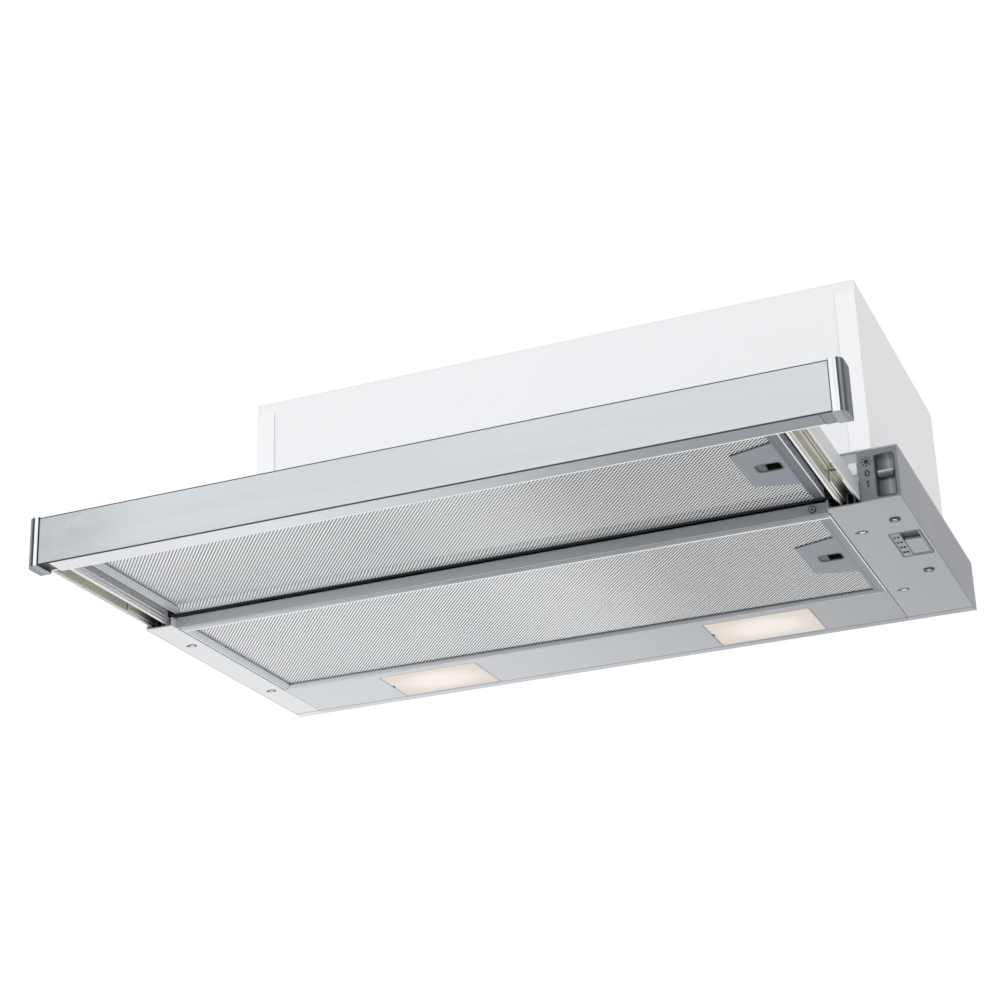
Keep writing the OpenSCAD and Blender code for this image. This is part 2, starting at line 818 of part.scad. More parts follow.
module switch_housing() {
    back = front_y + switch_recess + switch_floor;
    recess_l = switch_x + recess_in;
    recess_r = base_r - sheet_t - recess_side;
    color("dimgray") difference() {
        span([switch_x, front_y, under_z + sheet_t], [base_r - sheet_t, back, -sheet_t]);
        span([recess_l, front_y - cut, under_z + recess_low],
            [recess_r, front_y + switch_recess, -recess_high]);
        span([(recess_l + recess_r) / 2 - stem_r - fit_gap, front_y,
            light_slider_z - light_travel - stem_r - fit_gap],
            [(recess_l + recess_r) / 2 + stem_r + fit_gap, back + cut,
            light_slider_z + light_travel + stem_r + fit_gap]);
    }
}

module light_switch_block() {
    back = front_y + switch_recess + switch_floor;
    color("black") span([base_r - 2 * sheet_t - light_block_w, back, under_z + recess_low],
        [base_r - 2 * sheet_t, back + light_block_d, under_z + recess_low + light_block_h]);
}

module light_slider() {
    middle = (switch_x + recess_in + base_r - sheet_t - recess_side) / 2;
    color("darkgray") {
        span([middle - light_slider_w / 2, front_y + light_slider_set, light_slider_z - light_slider_h / 2],
            [middle + light_slider_w / 2, front_y + switch_recess - fit_gap,
            light_slider_z + light_slider_h / 2]);
        rod_y([middle, front_y + light_slider_set, light_slider_z],
            switch_recess + switch_floor - light_slider_set - fit_gap, stem_r);
    }
}

// Middle of the speed switch's recess along X, and its rear end
speed_mid = speed_plate_x + (speed_icon_w + speed_plate_w - speed_rim) / 2;
speed_rear = speed_plate_y + speed_plate_d - speed_rim;

module speed_plate() {
    color("gray") difference() {
        span([speed_plate_x, speed_plate_y, under_z],
            [speed_plate_x + speed_plate_w, speed_plate_y + speed_plate_d, under_z + speed_plate_t]);
        span([speed_plate_x + speed_icon_w, speed_plate_y + speed_rim, under_z - cut],
            [speed_plate_x + speed_plate_w - speed_rim, speed_rear, under_z + speed_recess]);
        span([speed_mid - stem_r - fit_gap,
            speed_rear - speed_slider_d / 2 - speed_travel - stem_r - 2 * fit_gap, under_z],
            [speed_mid + stem_r + fit_gap, speed_rear - speed_slider_d / 2 + stem_r,
            under_z + speed_plate_t + cut]);
    }
}

module speed_switch_block() {
    color("black") span([speed_plate_x + speed_block_in, speed_plate_y + speed_block_in,
        under_z + speed_plate_t], [speed_plate_x + speed_plate_w - speed_block_in,
        speed_plate_y + speed_plate_d - speed_block_in, under_z + speed_plate_t + speed_block_h]);
}

module speed_slider() {
    slider_w = speed_plate_w - speed_icon_w - speed_rim - 2 * fit_gap;
    color("silver") {
        span([speed_mid - slider_w / 2, speed_rear - fit_gap - speed_slider_d, under_z + speed_slider_set],
            [speed_mid + slider_w / 2, speed_rear - fit_gap, under_z + speed_slider_set + speed_slider_t]);
        translate([speed_mid, speed_rear - fit_gap - speed_slider_d / 2, under_z + speed_slider_set])
            cylinder(h = speed_plate_t - speed_slider_set - fit_gap, r = stem_r);
    }
}

// Runners

// Room around a tab's tongue, where it passes through the wall of a fixed runner
module tab_room(x, y) {
    span([x - tab_w / 2 - tab_root - fit_gap, y, under_z],
        [x + tab_w / 2, y + tab_d, under_z + sheet_t + tab_rise + fit_gap]);
}

module fixed_runners() {
    color("darkkhaki") difference() {
        for (x = [arm_left_x, arm_right_x])
            channel(x + (arm_w - fixed_runner_w) / 2, fixed_runner_w, front_y + runner_end,
                -sheet_t - runner_end, under_z + sheet_t, fixed_runner_top, runner_t);
        for (d = left_tab_places) tab_room(left_tab_x, front_y + d);
        for (d = right_tab_places) tab_room(right_tab_x, front_y + d);
    }
}

module middle_runners() {
    start = front_y + middle_runner_set - drawer_travel / 2;
    color("khaki") for (x = [arm_left_x, arm_right_x])
        channel(x + (arm_w - middle_runner_w) / 2, middle_runner_w, start, start + middle_runner_len,
            arm_z + 2 * runner_lift, middle_runner_top, runner_t);
}

module drawer_runners() {
    color("darkkhaki") for (x = [arm_left_x, arm_right_x])
        channel(x + arm_t, drawer_runner_w, fascia_back, front_y + arm_tail - runner_end,
            arm_z + runner_lift, drawer_runner_top, runner_t);
}

module runner_rivets() {
    color("silver") for (x = [arm_left_x, arm_right_x], d = rivet_places)
        translate([x + arm_w / 2, fascia_back + d, drawer_runner_top - runner_t - rivet_h])
            cylinder(h = rivet_h, r = rivet_r);
}

// Drawer

module drawer_arm_left() {
    color("lightgray") channel(arm_left_x, arm_w, fascia_back, front_y + arm_tail, arm_z, arm_top, arm_t);
}

module drawer_arm_right() {
    color("lightgray") channel(arm_right_x, arm_w, fascia_back, front_y + arm_tail, arm_z, arm_top, arm_t);
}

module drawer_cover() {
    rear = front_y + crossbar_set + crossbar_top_d;
    skirt_l = arm_left_x + arm_w - sheet_t;
    skirt_r = arm_right_x;
    color("lightgray") {
        span([skirt_l, fascia_back, under_z + cover_rise],
            [skirt_r + sheet_t, rear, under_z + cover_rise + sheet_t]);
        for (x = [skirt_l, skirt_r])
            span([x, fascia_back, arm_top], [x + sheet_t, rear, under_z + cover_rise]);
    }
}

module drawer_rear_bar() {
    color("dimgray") difference() {
        span([arm_left_x + arm_w, rear_bar_y, under_z + rear_bar_rise],
            [arm_right_x, rear_bar_y + rear_bar_t, arm_top]);
        rod_y([filter_pin_x, rear_bar_y - cut, front_filter_z + filter_pin_in], rear_bar_t + 2 * cut,
            filter_pin_r + run_gap);
    }
}

module fascia_panel() {
    color("lightsteelblue") span([-fascia_w / 2, fascia_front, fascia_z],
        [fascia_w / 2, fascia_front + face_t, fascia_z + fascia_h]);
}

module fascia_rail() {
    end = fascia_w / 2 - rail_setback;
    color("slategray") difference() {
        span([-end, fascia_front + face_t, fascia_z], [end, fascia_back, fascia_z + fascia_h]);
        span([-end - cut, fascia_front + face_t + rail_wall, fascia_z + rail_wall],
            [end + cut, fascia_back - rail_wall, fascia_z + fascia_h - rail_wall]);
        rod_y([filter_pin_x, fascia_back - rail_wall - cut, front_filter_z + filter_pin_in],
            rail_wall + 2 * cut, filter_pin_r + run_gap);
    }
}

// End cap: a rounded block outside the fascia, a web across its open end and a plug in the rail
module end_cap(side) {
    inner = fascia_w / 2;
    outer = inner + cap_w;
    front = fascia_front - cap_proud;
    color("whitesmoke") mirror([side < 0 ? 1 : 0, 0, 0]) {
        difference() {
            union() {
                span([inner, front, fascia_z - cap_proud],
                    [outer - cap_corner_r, fascia_back, fascia_z + fascia_h + cap_proud]);
                span([inner, front + cap_corner_r, fascia_z - cap_proud],
                    [outer, fascia_back, fascia_z + fascia_h + cap_proud]);
                intersection() {
                    translate([outer - cap_corner_r, front + cap_corner_r, fascia_z - cap_proud])
                        cylinder(h = fascia_h + 2 * cap_proud, r = cap_corner_r);
                    span([outer - cap_corner_r, front, fascia_z - cap_proud],
                        [outer, front + cap_corner_r, fascia_z + fascia_h + cap_proud]);
                }
            }
            span([outer - cap_corner_r, front - cut, fascia_z - cut - cap_proud],
                [outer - cap_corner_r + cap_groove_w, front + cap_groove_w,
                fascia_z + fascia_h + cut + cap_proud]);
        }
        span([inner - rail_setback, fascia_back - rail_wall, fascia_z + rail_wall],
            [inner, fascia_back, fascia_z + fascia_h - rail_wall]);
        span([inner - 2 * rail_setback, fascia_front + face_t + rail_wall + fit_gap,
            fascia_z + rail_wall + cap_plug_gap], [inner, fascia_back - rail_wall,
            fascia_z + fascia_h - rail_wall - cap_plug_gap]);
    }
}

module end_cap_left() {
    end_cap(-1);
}

module end_cap_right() {
    end_cap(1);
}

// Filter cassettes, between the depths y[0] and y[1], with their underside at z

module filter_frame(y, z) {
    mesh_in = filter_border - mesh_hold;
    color("gray") {
        difference() {
            span([filter_l, y[0], z], [filter_r, y[1], z + filter_t]);
            span([filter_l + filter_border, y[0] + filter_border, z - cut],
                [filter_r - filter_border, y[1] - filter_border, z + filter_t + cut]);
            span([filter_l + mesh_in, y[0] + mesh_in, z + filter_lip],
                [filter_r - mesh_in, y[1] - mesh_in, z + filter_t - filter_lip]);
        }
        rod_y([filter_pin_x, y[0] - filter_pin_len, z + filter_pin_in], filter_pin_len, filter_pin_r);
        rod_y([filter_pin_x, y[1], z + filter_pin_in], filter_pin_len, filter_pin_r);
    }
}

// Left edge of the finger pocket
pocket_x = filter_r - filter_border - handle_w + pocket_set;

module pocket_outer(mid, z) {
    span([pocket_x, mid - pocket_d / 2, z + plate_set], [pocket_x + pocket_w, mid + pocket_d / 2,
        z + plate_set + pocket_depth]);
}

// Thin sheets in place of the mesh's layers, each laid as four plates round the finger pocket
module filter_mesh(y, z, mid) {
    mesh_in = filter_border - mesh_hold;
    layer_step = (filter_t - 2 * filter_lip - mesh_layer_t) / (mesh_layers - 1);
    pocket_r = pocket_x + pocket_w;
    color("lightgray") for (i = [0:mesh_layers - 1]) {
        low = z + filter_lip + i * layer_step;
        high = low + mesh_layer_t;
        span([filter_l + mesh_in, y[0] + mesh_in, low], [pocket_x, y[1] - mesh_in, high]);
        span([pocket_r, y[0] + mesh_in, low], [filter_r - mesh_in, y[1] - mesh_in, high]);
        span([pocket_x + fit_gap, y[0] + mesh_in, low], [pocket_r - fit_gap, mid - pocket_d / 2, high]);
        span([pocket_x + fit_gap, mid + pocket_d / 2, low], [pocket_r - fit_gap, y[1] - mesh_in, high]);
    }
}

// Handle plate with its finger pocket, under the mesh at the filter's free end
module filter_handle(mid, z) {
    right = filter_r - filter_border;
    color("darkgray") difference() {
        union() {
            translate([0, 0, z + plate_set]) linear_extrude(height = plate_t)
                polygon([[right, mid - handle_long / 2], [right, mid + handle_long / 2],
                    [right - handle_w, mid + handle_short / 2], [right - handle_w, mid - handle_short / 2]]);
            pocket_outer(mid, z);
        }
        span([pocket_x + pocket_wall, mid - pocket_d / 2 + pocket_wall, z + plate_set - cut],
            [pocket_x + pocket_w - pocket_wall, mid + pocket_d / 2 - pocket_wall,
            z + plate_set + pocket_depth - pocket_wall]);
    }
}

// Latch tab at the left end of the pocket
module filter_latch(mid, z) {
    color("gray") span([pocket_x + pocket_wall + fit_gap, mid - pocket_d / 2 + pocket_wall + fit_gap,
        z + latch_set], [pocket_x + pocket_wall + fit_gap + latch_w,
        mid + pocket_d / 2 - pocket_wall - fit_gap, z + latch_set + latch_t]);
}

module front_filter_frame() {
    filter_frame(front_filter_y, front_filter_z);
}

module front_filter_mesh() {
    filter_mesh(front_filter_y, front_filter_z, front_handle_y);
}

module front_filter_handle() {
    filter_handle(front_handle_y, front_filter_z);
}

module front_filter_latch() {
    filter_latch(front_handle_y, front_filter_z);
}

module rear_filter_frame() {
    filter_frame(rear_filter_y, under_z);
}

module rear_filter_mesh() {
    filter_mesh(rear_filter_y, under_z, rear_handle_y);
}

module rear_filter_handle() {
    filter_handle(rear_handle_y, under_z);
}

module rear_filter_latch() {
    filter_latch(rear_handle_y, under_z);
}

base_top_plate();
base_side_left();
base_side_right();
underside_panel_left();
underside_panel_right();
underside_panel_rear();
crossbar();
crossbar_screw();
panel_screws();
body_front_sheet();
body_side_left();
body_side_right();
body_back_sheet();
body_top_sheet();
outlet_collar();
flap_front();
flap_rear();
mains_gland();
terminal_box();
capacitor();
blower_scroll();
blower_side_plate();
motor_bracket();
motor();
motor_shaft();
impeller();
lamp_boxes();
lamp_holders();
lamp_bulbs();
lamp_lens_left();
lamp_lens_right();
switch_housing();
light_switch_block();
light_slider();
speed_plate();
speed_switch_block();
speed_slider();
fixed_runners();
middle_runners();
drawer_runners();
runner_rivets();
drawer_arm_left();
drawer_arm_right();
drawer_cover();
drawer_rear_bar();
fascia_panel();
fascia_rail();
end_cap_left();
end_cap_right();
front_filter_frame();
front_filter_mesh();
front_filter_handle();
front_filter_latch();
rear_filter_frame();
rear_filter_mesh();
rear_filter_handle();
rear_filter_latch();
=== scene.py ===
"""Looks of a pull-out range hood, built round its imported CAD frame.

Lengths in the classes are in millimetres in the frame's axes: X along the hood, Y into the wall
and Z up. They are turned to metres where a mesh is made. The studio's are in metres. Colours are
screen colours from 0 to 255.
"""

import logging
from dataclasses import dataclass
from enum import Enum
from typing import Any, Callable, Sequence

import bmesh
import bpy
import numpy as np
from mathutils import Matrix


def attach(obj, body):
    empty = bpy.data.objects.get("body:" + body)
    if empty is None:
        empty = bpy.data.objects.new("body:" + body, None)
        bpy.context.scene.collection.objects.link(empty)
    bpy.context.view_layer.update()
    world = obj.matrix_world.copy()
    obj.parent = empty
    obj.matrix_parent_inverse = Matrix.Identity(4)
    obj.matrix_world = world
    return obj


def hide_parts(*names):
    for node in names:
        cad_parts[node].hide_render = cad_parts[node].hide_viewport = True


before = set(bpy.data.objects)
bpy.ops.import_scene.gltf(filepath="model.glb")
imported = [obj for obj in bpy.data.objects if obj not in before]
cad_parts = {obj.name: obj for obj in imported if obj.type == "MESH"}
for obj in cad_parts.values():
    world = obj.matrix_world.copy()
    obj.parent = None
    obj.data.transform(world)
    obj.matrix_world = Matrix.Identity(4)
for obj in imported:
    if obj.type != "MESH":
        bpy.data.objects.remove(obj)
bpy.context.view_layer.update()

log = logging.getLogger("hood")
MM = 0.001
PER_METRE = 1000.0
WHITE = (1.0, 1.0, 1.0, 1.0)

Pair = tuple[float, float]
Triple = tuple[float, float, float]
Box = tuple[float, float, float, float]
Solid = tuple[np.ndarray, Any]


class Slot(Enum):
    """The record's material slots that new pieces belong to."""

    GALVANISED = "galvanised_sheet"
    SILVER_ENAMEL = "silver_enamel"
    ARM_ENAMEL = "arm_enamel"
    CHROME = "chrome_cap"
    ZINC = "zinc_runner"
    FILTER_MESH = "filter_mesh"
    HANDLE = "handle_plastic"
    SWITCH = "switch_plastic"
    SPEED = "speed_plastic"
    WHITE_PLASTIC = "white_plastic"


class Edge(Enum):
    """How wide a CAD node's edges are rounded, in millimetres."""

    NONE = 0.0
    FINE = 0.18
    SHEET = 0.3


def paint(colour: Any) -> Any:
    """Turns a screen colour into the renderer's linear one, and leaves a wire as it is.

    Each channel c from 0 to 1 becomes ((c + 0.055) / 1.055) to the power 2.4, or c / 12.92 near
    black.

    Args:
        colour: Red, green and blue from 0 to 255, or a wire.

    Returns:
        The linear colour with an alpha of one, or the wire.
    """
    if isinstance(colour, Wire):
        return colour
    screen = np.array(colour) / 255.0
    linear = np.where(screen > 0.04045, ((screen + 0.055) / 1.055) ** 2.4, screen / 12.92)
    return (*map(float, linear), 1.0)


def math_node(operation: str, swapped: bool = False) -> Callable[..., "Wire"]:
    """Makes a method of Wire that adds one Math node.

    Args:
        operation: The node's operation.
        swapped: Whether the wire comes after the other value.

    Returns:
        The method.
    """
    def method(self: "Wire", *others: Any) -> "Wire":
        """Adds the node to the wire's graph."""
        values = (*others, self) if swapped else (self, *others)
        return self.graph.add("ShaderNodeMath", {"operation": operation}, dict(enumerate(values)))

    return method


class Wire:
    """A node's output socket whose Python operators add Math nodes."""

    def __init__(self, graph: "Graph", socket: bpy.types.NodeSocket) -> None:
        """Keeps the graph that the socket belongs to, and the socket."""
        self.graph = graph
        self.socket = socket

    __add__, __radd__ = math_node("ADD"), math_node("ADD", swapped=True)
    __sub__, __rsub__ = math_node("SUBTRACT"), math_node("SUBTRACT", swapped=True)
    __mul__, __rmul__ = math_node("MULTIPLY"), math_node("MULTIPLY", swapped=True)
    __truediv__, __pow__, __abs__ = math_node("DIVIDE"), math_node("POWER"), math_node("ABSOLUTE")
    sine, least, most = math_node("SINE"), math_node("MINIMUM"), math_node("MAXIMUM")


class Graph:
    """The node tree of one material, with positions on the piece in millimetres."""

    def __init__(self, name: str) -> None:
        """Makes an empty material of the given name."""
        self.material = bpy.data.materials.new(name)
        self.material.use_nodes = True
        self.tree = self.material.node_tree
        self.tree.nodes.clear()
        self.spot = self.add("ShaderNodeTexCoord", {}, {}, "Object")
        axes = self.add("ShaderNodeSeparateXYZ", {}, {0: self.spot})
        self.x, self.y, self.z = (Wire(self, socket) * PER_METRE for socket in axes.socket.node.outputs)

    def add(self, kind: str, settings: dict[str, Any], inputs: dict[Any, Any], out: Any = 0) -> Wire:
        """Adds a node of any type.

        Args:
            kind: The node's type name.
            settings: Its properties, set first.
            inputs: Values or wires by the sockets' names or numbers.
            out: The output to return.

        Returns:
            A wire on the chosen output.
        """
        node = self.tree.nodes.new(kind)
        for key, value in settings.items():
            setattr(node, key, value)
        for key, value in inputs.items():
            if isinstance(value, Wire):
                self.tree.links.new(value.socket, node.inputs[key])
            else:
                node.inputs[key].default_value = value
        return Wire(self, node.outputs[out])

    def smooth(self, value: Wire, low: float, high: float) -> Wire:
        """Rises smoothly from 0 at low to 1 at high."""
        return self.add("ShaderNodeMapRange", {"interpolation_type": "SMOOTHSTEP"},
                        {0: value, 1: low, 2: high, 3: 0.0, 4: 1.0})

    def band(self, value: Wire, low: float, high: float, soft: float) -> Wire:
        """Is 1 between low and high and 0 outside, with edges of twice the width soft."""
        return self.smooth(value, low - soft, low + soft) * (1.0 - self.smooth(value, high - soft, high + soft))

    def hollow(self, sides: Box, mouth_z: float) -> Wire:
        """Is 1 within a hollow's left, right, front and rear side, above its mouth."""
        left, right, front, rear = sides
        within = self.band(self.x, left, right, 0.15) * self.band(self.y, front, rear, 0.15)
        return within * self.smooth(self.z, mouth_z + 0.2, mouth_z + 0.9)

    def noise(self, scale: Any, detail: float = 2.0, rough: float = 0.5) -> Wire:
        """Noise from 0 to 1 with one scale or one along each axis, in waves per metre."""
        waves = tuple(np.broadcast_to(scale, 3).tolist())
        stretched = self.add("ShaderNodeMapping", {}, {"Vector": self.spot, "Scale": waves})
        return self.add("ShaderNodeTexNoise", {},
                        {"Vector": stretched, "Scale": 1.0, "Detail": detail, "Roughness": rough})

    def ramp(self, value: Wire, *stops: tuple[float, Triple]) -> Wire:
        """Colour along stops, each a place and a colour, of which the first two lie at 0 and 1."""
        colour = self.add("ShaderNodeValToRGB", {}, {0: value})
        elements = colour.socket.node.color_ramp.elements
        for index, (place, screen) in enumerate(stops):
            stop = elements[index] if index < 2 else elements.new(place)
            stop.position, stop.color = place, paint(screen)
        return colour

    def mix(self, low: Any, high: Any, mask: Any) -> Wire:
        """Colour between two colours."""
        return self.add("ShaderNodeMix", {"data_type": "RGBA"}, {0: mask, 6: paint(low), 7: paint(high)}, 2)

    def shade(self, colour: Any, factor: Any) -> Wire:
        """Colour times a number."""
        plain = colour if isinstance(colour, Wire) else paint(colour)[:3]
        return self.add("ShaderNodeVectorMath", {"operation": "SCALE"}, {0: plain, 3: factor})

    def bump(self, height: Wire, depth: float, strength: float) -> Wire:
        """Normal of a relief whose height runs from 0 to 1, depth millimetres deep."""
        return self.add("ShaderNodeBump", {}, {"Strength": strength, "Distance": depth * MM, "Height": height})

    def close(self, **sockets: Any) -> bpy.types.Material:
        """Ends the material with one Principled shader.

        Args:
            sockets: Values or wires by the shader's socket names, with _ for each blank.

        Returns:
            The finished material.
        """
        named = {key.replace("_", " "): value for key, value in sockets.items()}
        self.show(self.add("ShaderNodeBsdfPrincipled", {}, named).socket)
        return self.material

    def show(self, shader: bpy.types.NodeSocket) -> None:
        """Joins a shader to the material's output."""
        node = self.tree.nodes.new("ShaderNodeOutputMaterial")
        self.tree.links.new(shader, node.inputs["Surface"])


@dataclass(frozen=True)
class Finish:
    """What all finishes share: one Principled shader, made from a few sockets."""

    def sockets(self, g: Graph) -> dict[str, Any]:
        """Values or wires by the shader's socket names, with _ for each blank."""
        raise NotImplementedError

    def make(self, name: str) -> bpy.types.Material:
        """Builds the material under the given name."""
        graph = Graph(name)
        return graph.close(**self.sockets(graph))


@dataclass(frozen=True)
class PowderCoat(Finish):
    """Smooth powder coat with a faint orange peel, and painted shade that greys a thin line at each fold given along X,
    where a flange's edge meets the sheet.
    """

    colour: Triple = (245, 246, 248)
    folds: tuple[float, ...] = ()
    peel: float = 900.0
    peel_depth: float = 0.03
    cloud: float = 9.0

    def sockets(self, g: Graph) -> dict[str, Any]:
        """The shader's sockets."""
        peel = g.noise(self.peel, 1.0)
        cloud = g.noise(self.cloud)
        factor = 0.985 + 0.03 * cloud
        # Painted shade: the coat is made greyer in a thin line at each flange fold.
        for fold in self.folds:
            factor = factor * (1.0 - 0.22 * g.band(g.x, fold - 0.5, fold + 0.5, 0.3))
        return dict(Base_Color=g.shade(self.colour, factor),
                    Roughness=0.36 + 0.1 * peel, Normal=g.bump(peel, self.peel_depth, 0.5))


@dataclass(frozen=True)
class SatinEnamel(Finish):
    """Silver-grey enamel with painted light, paler towards the hood's left end where the light falls, and with a dark
    seam along X.
    """

    left: Triple = (230, 232, 234)
    right: Triple = (176, 179, 183)
    half_run: float = 300.0
    bend: float = 1.3
    fleck: float = 2600.0
    metallic: float = 0.15
    seam_y: float = 50.0

    def sockets(self, g: Graph) -> dict[str, Any]:
        """The shader's sockets."""
        # Painted light: the tone runs from the lit left colour to the shaded right one.
        run = g.smooth(g.x, -self.half_run, self.half_run) ** self.bend
        fleck = g.noise(self.fleck, 1.0)
        cloud = g.noise(14.0)
        tone = g.mix(self.left, self.right, run)
        seam = g.band(g.y, self.seam_y - 0.9, self.seam_y + 0.9, 0.3)
        factor = (0.955 + 0.05 * fleck + 0.04 * cloud) * (1.0 - 0.5 * seam)
        return dict(Base_Color=g.shade(tone, factor), Metallic=self.metallic,
                    Roughness=0.4 + 0.12 * cloud, Normal=g.bump(fleck, 0.02, 0.4))


@dataclass(frozen=True)
class BrushedSteel(Finish):
    """Stainless steel brushed along X, with a painted reflection that darkens and mottles its left end, and painted
    shade in a fold line along both edges.
    """

    left: Triple = (214, 219, 222)
    right: Triple = (214, 219, 224)
    low_z: float = -41.3
    high_z: float = -5.3
    line: float = 0.9
    grain: float = 1900.0

    def sockets(self, g: Graph) -> dict[str, Any]:
        """The shader's sockets."""
        grain = g.noise((2.5, 500.0, self.grain), 3.0, 0.7)
        broad = g.noise((7.0, 60.0, 90.0))
        run = g.smooth(g.x, -310.0, -40.0)
        tone = g.mix(self.left, self.right, run)
        # Painted shade: the folded top and bottom edges are darkened to a tenth.
        edge = g.band(g.z, self.low_z + self.line, self.high_z - self.line, 0.2)
        # Painted reflection: mottled darkening towards the left end.
        left_end_sheen = g.noise((70.0, 70.0, 150.0), 5.0, 0.75) * (1.0 - g.smooth(g.x, -270.0, -190.0))
        tint = (0.87 + 0.14 * grain + 0.12 * broad - 0.34 * left_end_sheen) * (0.1 + 0.9 * edge)
        return dict(Base_Color=g.shade(tone, tint), Metallic=0.85, Roughness=0.3 + 0.22 * grain,
                    Normal=g.bump(grain, 0.015, 0.35))


@dataclass(frozen=True)
class SatinMetal(Finish):
    """Satin aluminium or bare sheet with a fine grain."""

    colour: Triple = (150, 154, 160)
    along: Any = (40.0, 900.0, 900.0)
    metallic: float = 0.8
    rough: float = 0.38
    contrast: float = 0.12

    def sockets(self, g: Graph) -> dict[str, Any]:
        """The shader's sockets."""
        grain = g.noise(self.along, 2.0, 0.6)
        cloud = g.noise(22.0)
        factor = 1.0 - self.contrast / 2 + self.contrast * grain + 0.08 * (cloud - 0.5)
        return dict(Base_Color=g.shade(self.colour, factor), Metallic=self.metallic,
                    Roughness=self.rough + 0.14 * cloud, Normal=g.bump(grain, 0.012, 0.3))


@dataclass(frozen=True)
class RailAluminium(Finish):
    """Anodised rail with painted light: paler towards its left end, where the light falls, and a painted highlight in a
    pale line along its inner edge.
    """

    left: Triple = (240, 242, 246)
    right: Triple = (153, 159, 166)
    back_y: float = -403.5
    line: float = 1.9

    def sockets(self, g: Graph) -> dict[str, Any]:
        """The shader's sockets."""
        grain = g.noise((3.0, 1500.0, 1500.0), 2.0, 0.6)
        # Painted light: pale at the left end, darker at the right.
        run = g.smooth(g.x, -160.0, 240.0)
        tone = g.mix(self.left, self.right, run)
        # Painted highlight: a pale line along the inner edge.
        inner = g.smooth(g.y, self.back_y - self.line, self.back_y - self.line + 0.5)
        pale = g.mix(tone, (252, 253, 255), inner)
        return dict(Base_Color=g.shade(pale, 0.93 + 0.1 * grain), Metallic=0.75 + 0.2 * inner,
                    Roughness=0.34 + 0.12 * grain, Normal=g.bump(grain, 0.01, 0.3))


@dataclass(frozen=True)
class FrameAluminium(Finish):
    """Folded filter frame: satin metal with dark mitre joints, a painted highlight on its pale outer fold, painted
    shade in its inner fold, painted light paling it towards the left, and painted shade on its rear border as rear_tone
    sets.
    """

    left: float
    right: float
    front: float
    rear: float
    border: float = 8.5
    rear_tone: float = 1.0
    rear_width: float = 8.8
    joined_front: bool = False
    pale: Triple = (200, 203, 207)
    colour: Triple = (146, 150, 156)

    def sockets(self, g: Graph) -> dict[str, Any]:
        """The shader's sockets."""
        grain = g.noise((60.0, 60.0, 1200.0), 2.0, 0.6)
        cloud = g.noise(16.0)
        side_x = (g.x - self.left).least(self.right - g.x)
        side_y = (g.y - self.front).least(self.rear - g.y)
        inward = side_x.least(side_y)
        mitre = 1.0 - g.smooth(abs(side_x - side_y), 0.2, 0.75)
        # Painted shade in the crease of the inner fold.
        fold = g.band(inward, self.border - 2.4, self.border - 1.7, 0.3)
        # Painted highlight: a pale line along the outer edge, and a pale strip just before the front lip.
        rim = 1.0 - g.smooth(inward, 0.5, 1.3)
        lip = self.front + self.border
        ahead = 1.0 - g.smooth(g.y, lip - 0.4, lip + 0.4)
        rim = rim.most(ahead * g.smooth(g.y, lip - 2.4, lip - 1.9))
        if self.joined_front:
            mitre, fold = mitre * (1.0 - ahead), fold * (1.0 - ahead)
            rim = rim * (1.0 - ahead * (1.0 - g.smooth(g.y, self.front + 3.0, self.front + 3.4)))
        # Painted light: pale at the left end, its own colour towards the right.
        run = g.smooth(g.x, self.left, self.left + 300.0)
        tone = g.mix(g.mix(self.pale, self.colour, run), (244, 246, 249), rim)
        dark = (1.0 - 0.55 * mitre * g.smooth(inward, 0.1, 0.6)) * (1.0 - 0.3 * fold)
        # Painted shade over the rear border, as dark as rear_tone.
        rear = g.smooth(g.y, self.rear - self.rear_width, self.rear - self.rear_width + 0.5)
        factor = (0.92 + 0.1 * grain + 0.1 * cloud) * dark * (1.0 - (1.0 - self.rear_tone) * rear)
        return dict(Base_Color=g.shade(tone, factor), Metallic=0.6, Roughness=0.36 + 0.15 * cloud,
                    Normal=g.bump(dark + 0.2 * grain, 0.12, 0.4))


@dataclass(frozen=True)
class Chrome(Finish):
    """Polished cap whose bands are painted reflections: a white front strip as painted highlight, then dark and grey
    bands round its corner and side.
    """

    inner: float
    outer: float
    side: float
    corner: float = 4.6
    low_z: float = -42.1

    def sockets(self, g: Graph) -> dict[str, Any]:
        """The painted reflection bands follow the distance past the corner's start."""
        smear = g.noise((20.0, 260.0, 7.0))
        across = self.side * g.x
        edge = g.band(across, self.inner - 0.2, self.inner + 0.6, 0.2)
        turn = (across - (self.outer - self.corner)) / self.corner
        bands = g.ramp(turn, (0.0, (246, 248, 250)), (1.0, (92, 98, 105)), (0.08, (246, 248, 250)),
                       (0.16, (52, 56, 62)), (0.34, (88, 93, 100)), (0.55, (164, 169, 176)), (0.8, (84, 89, 96)))
        lined = g.mix(bands, (60, 64, 70), edge)
        under = 1.0 - g.smooth(g.z, self.low_z + 0.2, self.low_z + 0.9)
        tone = g.mix(lined, (158, 162, 168), under)
        round_side = g.smooth(turn, 0.1, 0.16)
        return dict(Base_Color=g.shade(tone, 0.8 + 0.36 * smear), Metallic=0.9 - 0.9 * round_side,
                    Roughness=0.12 + 0.1 * smear + 0.25 * round_side, Specular_IOR_Level=0.15)


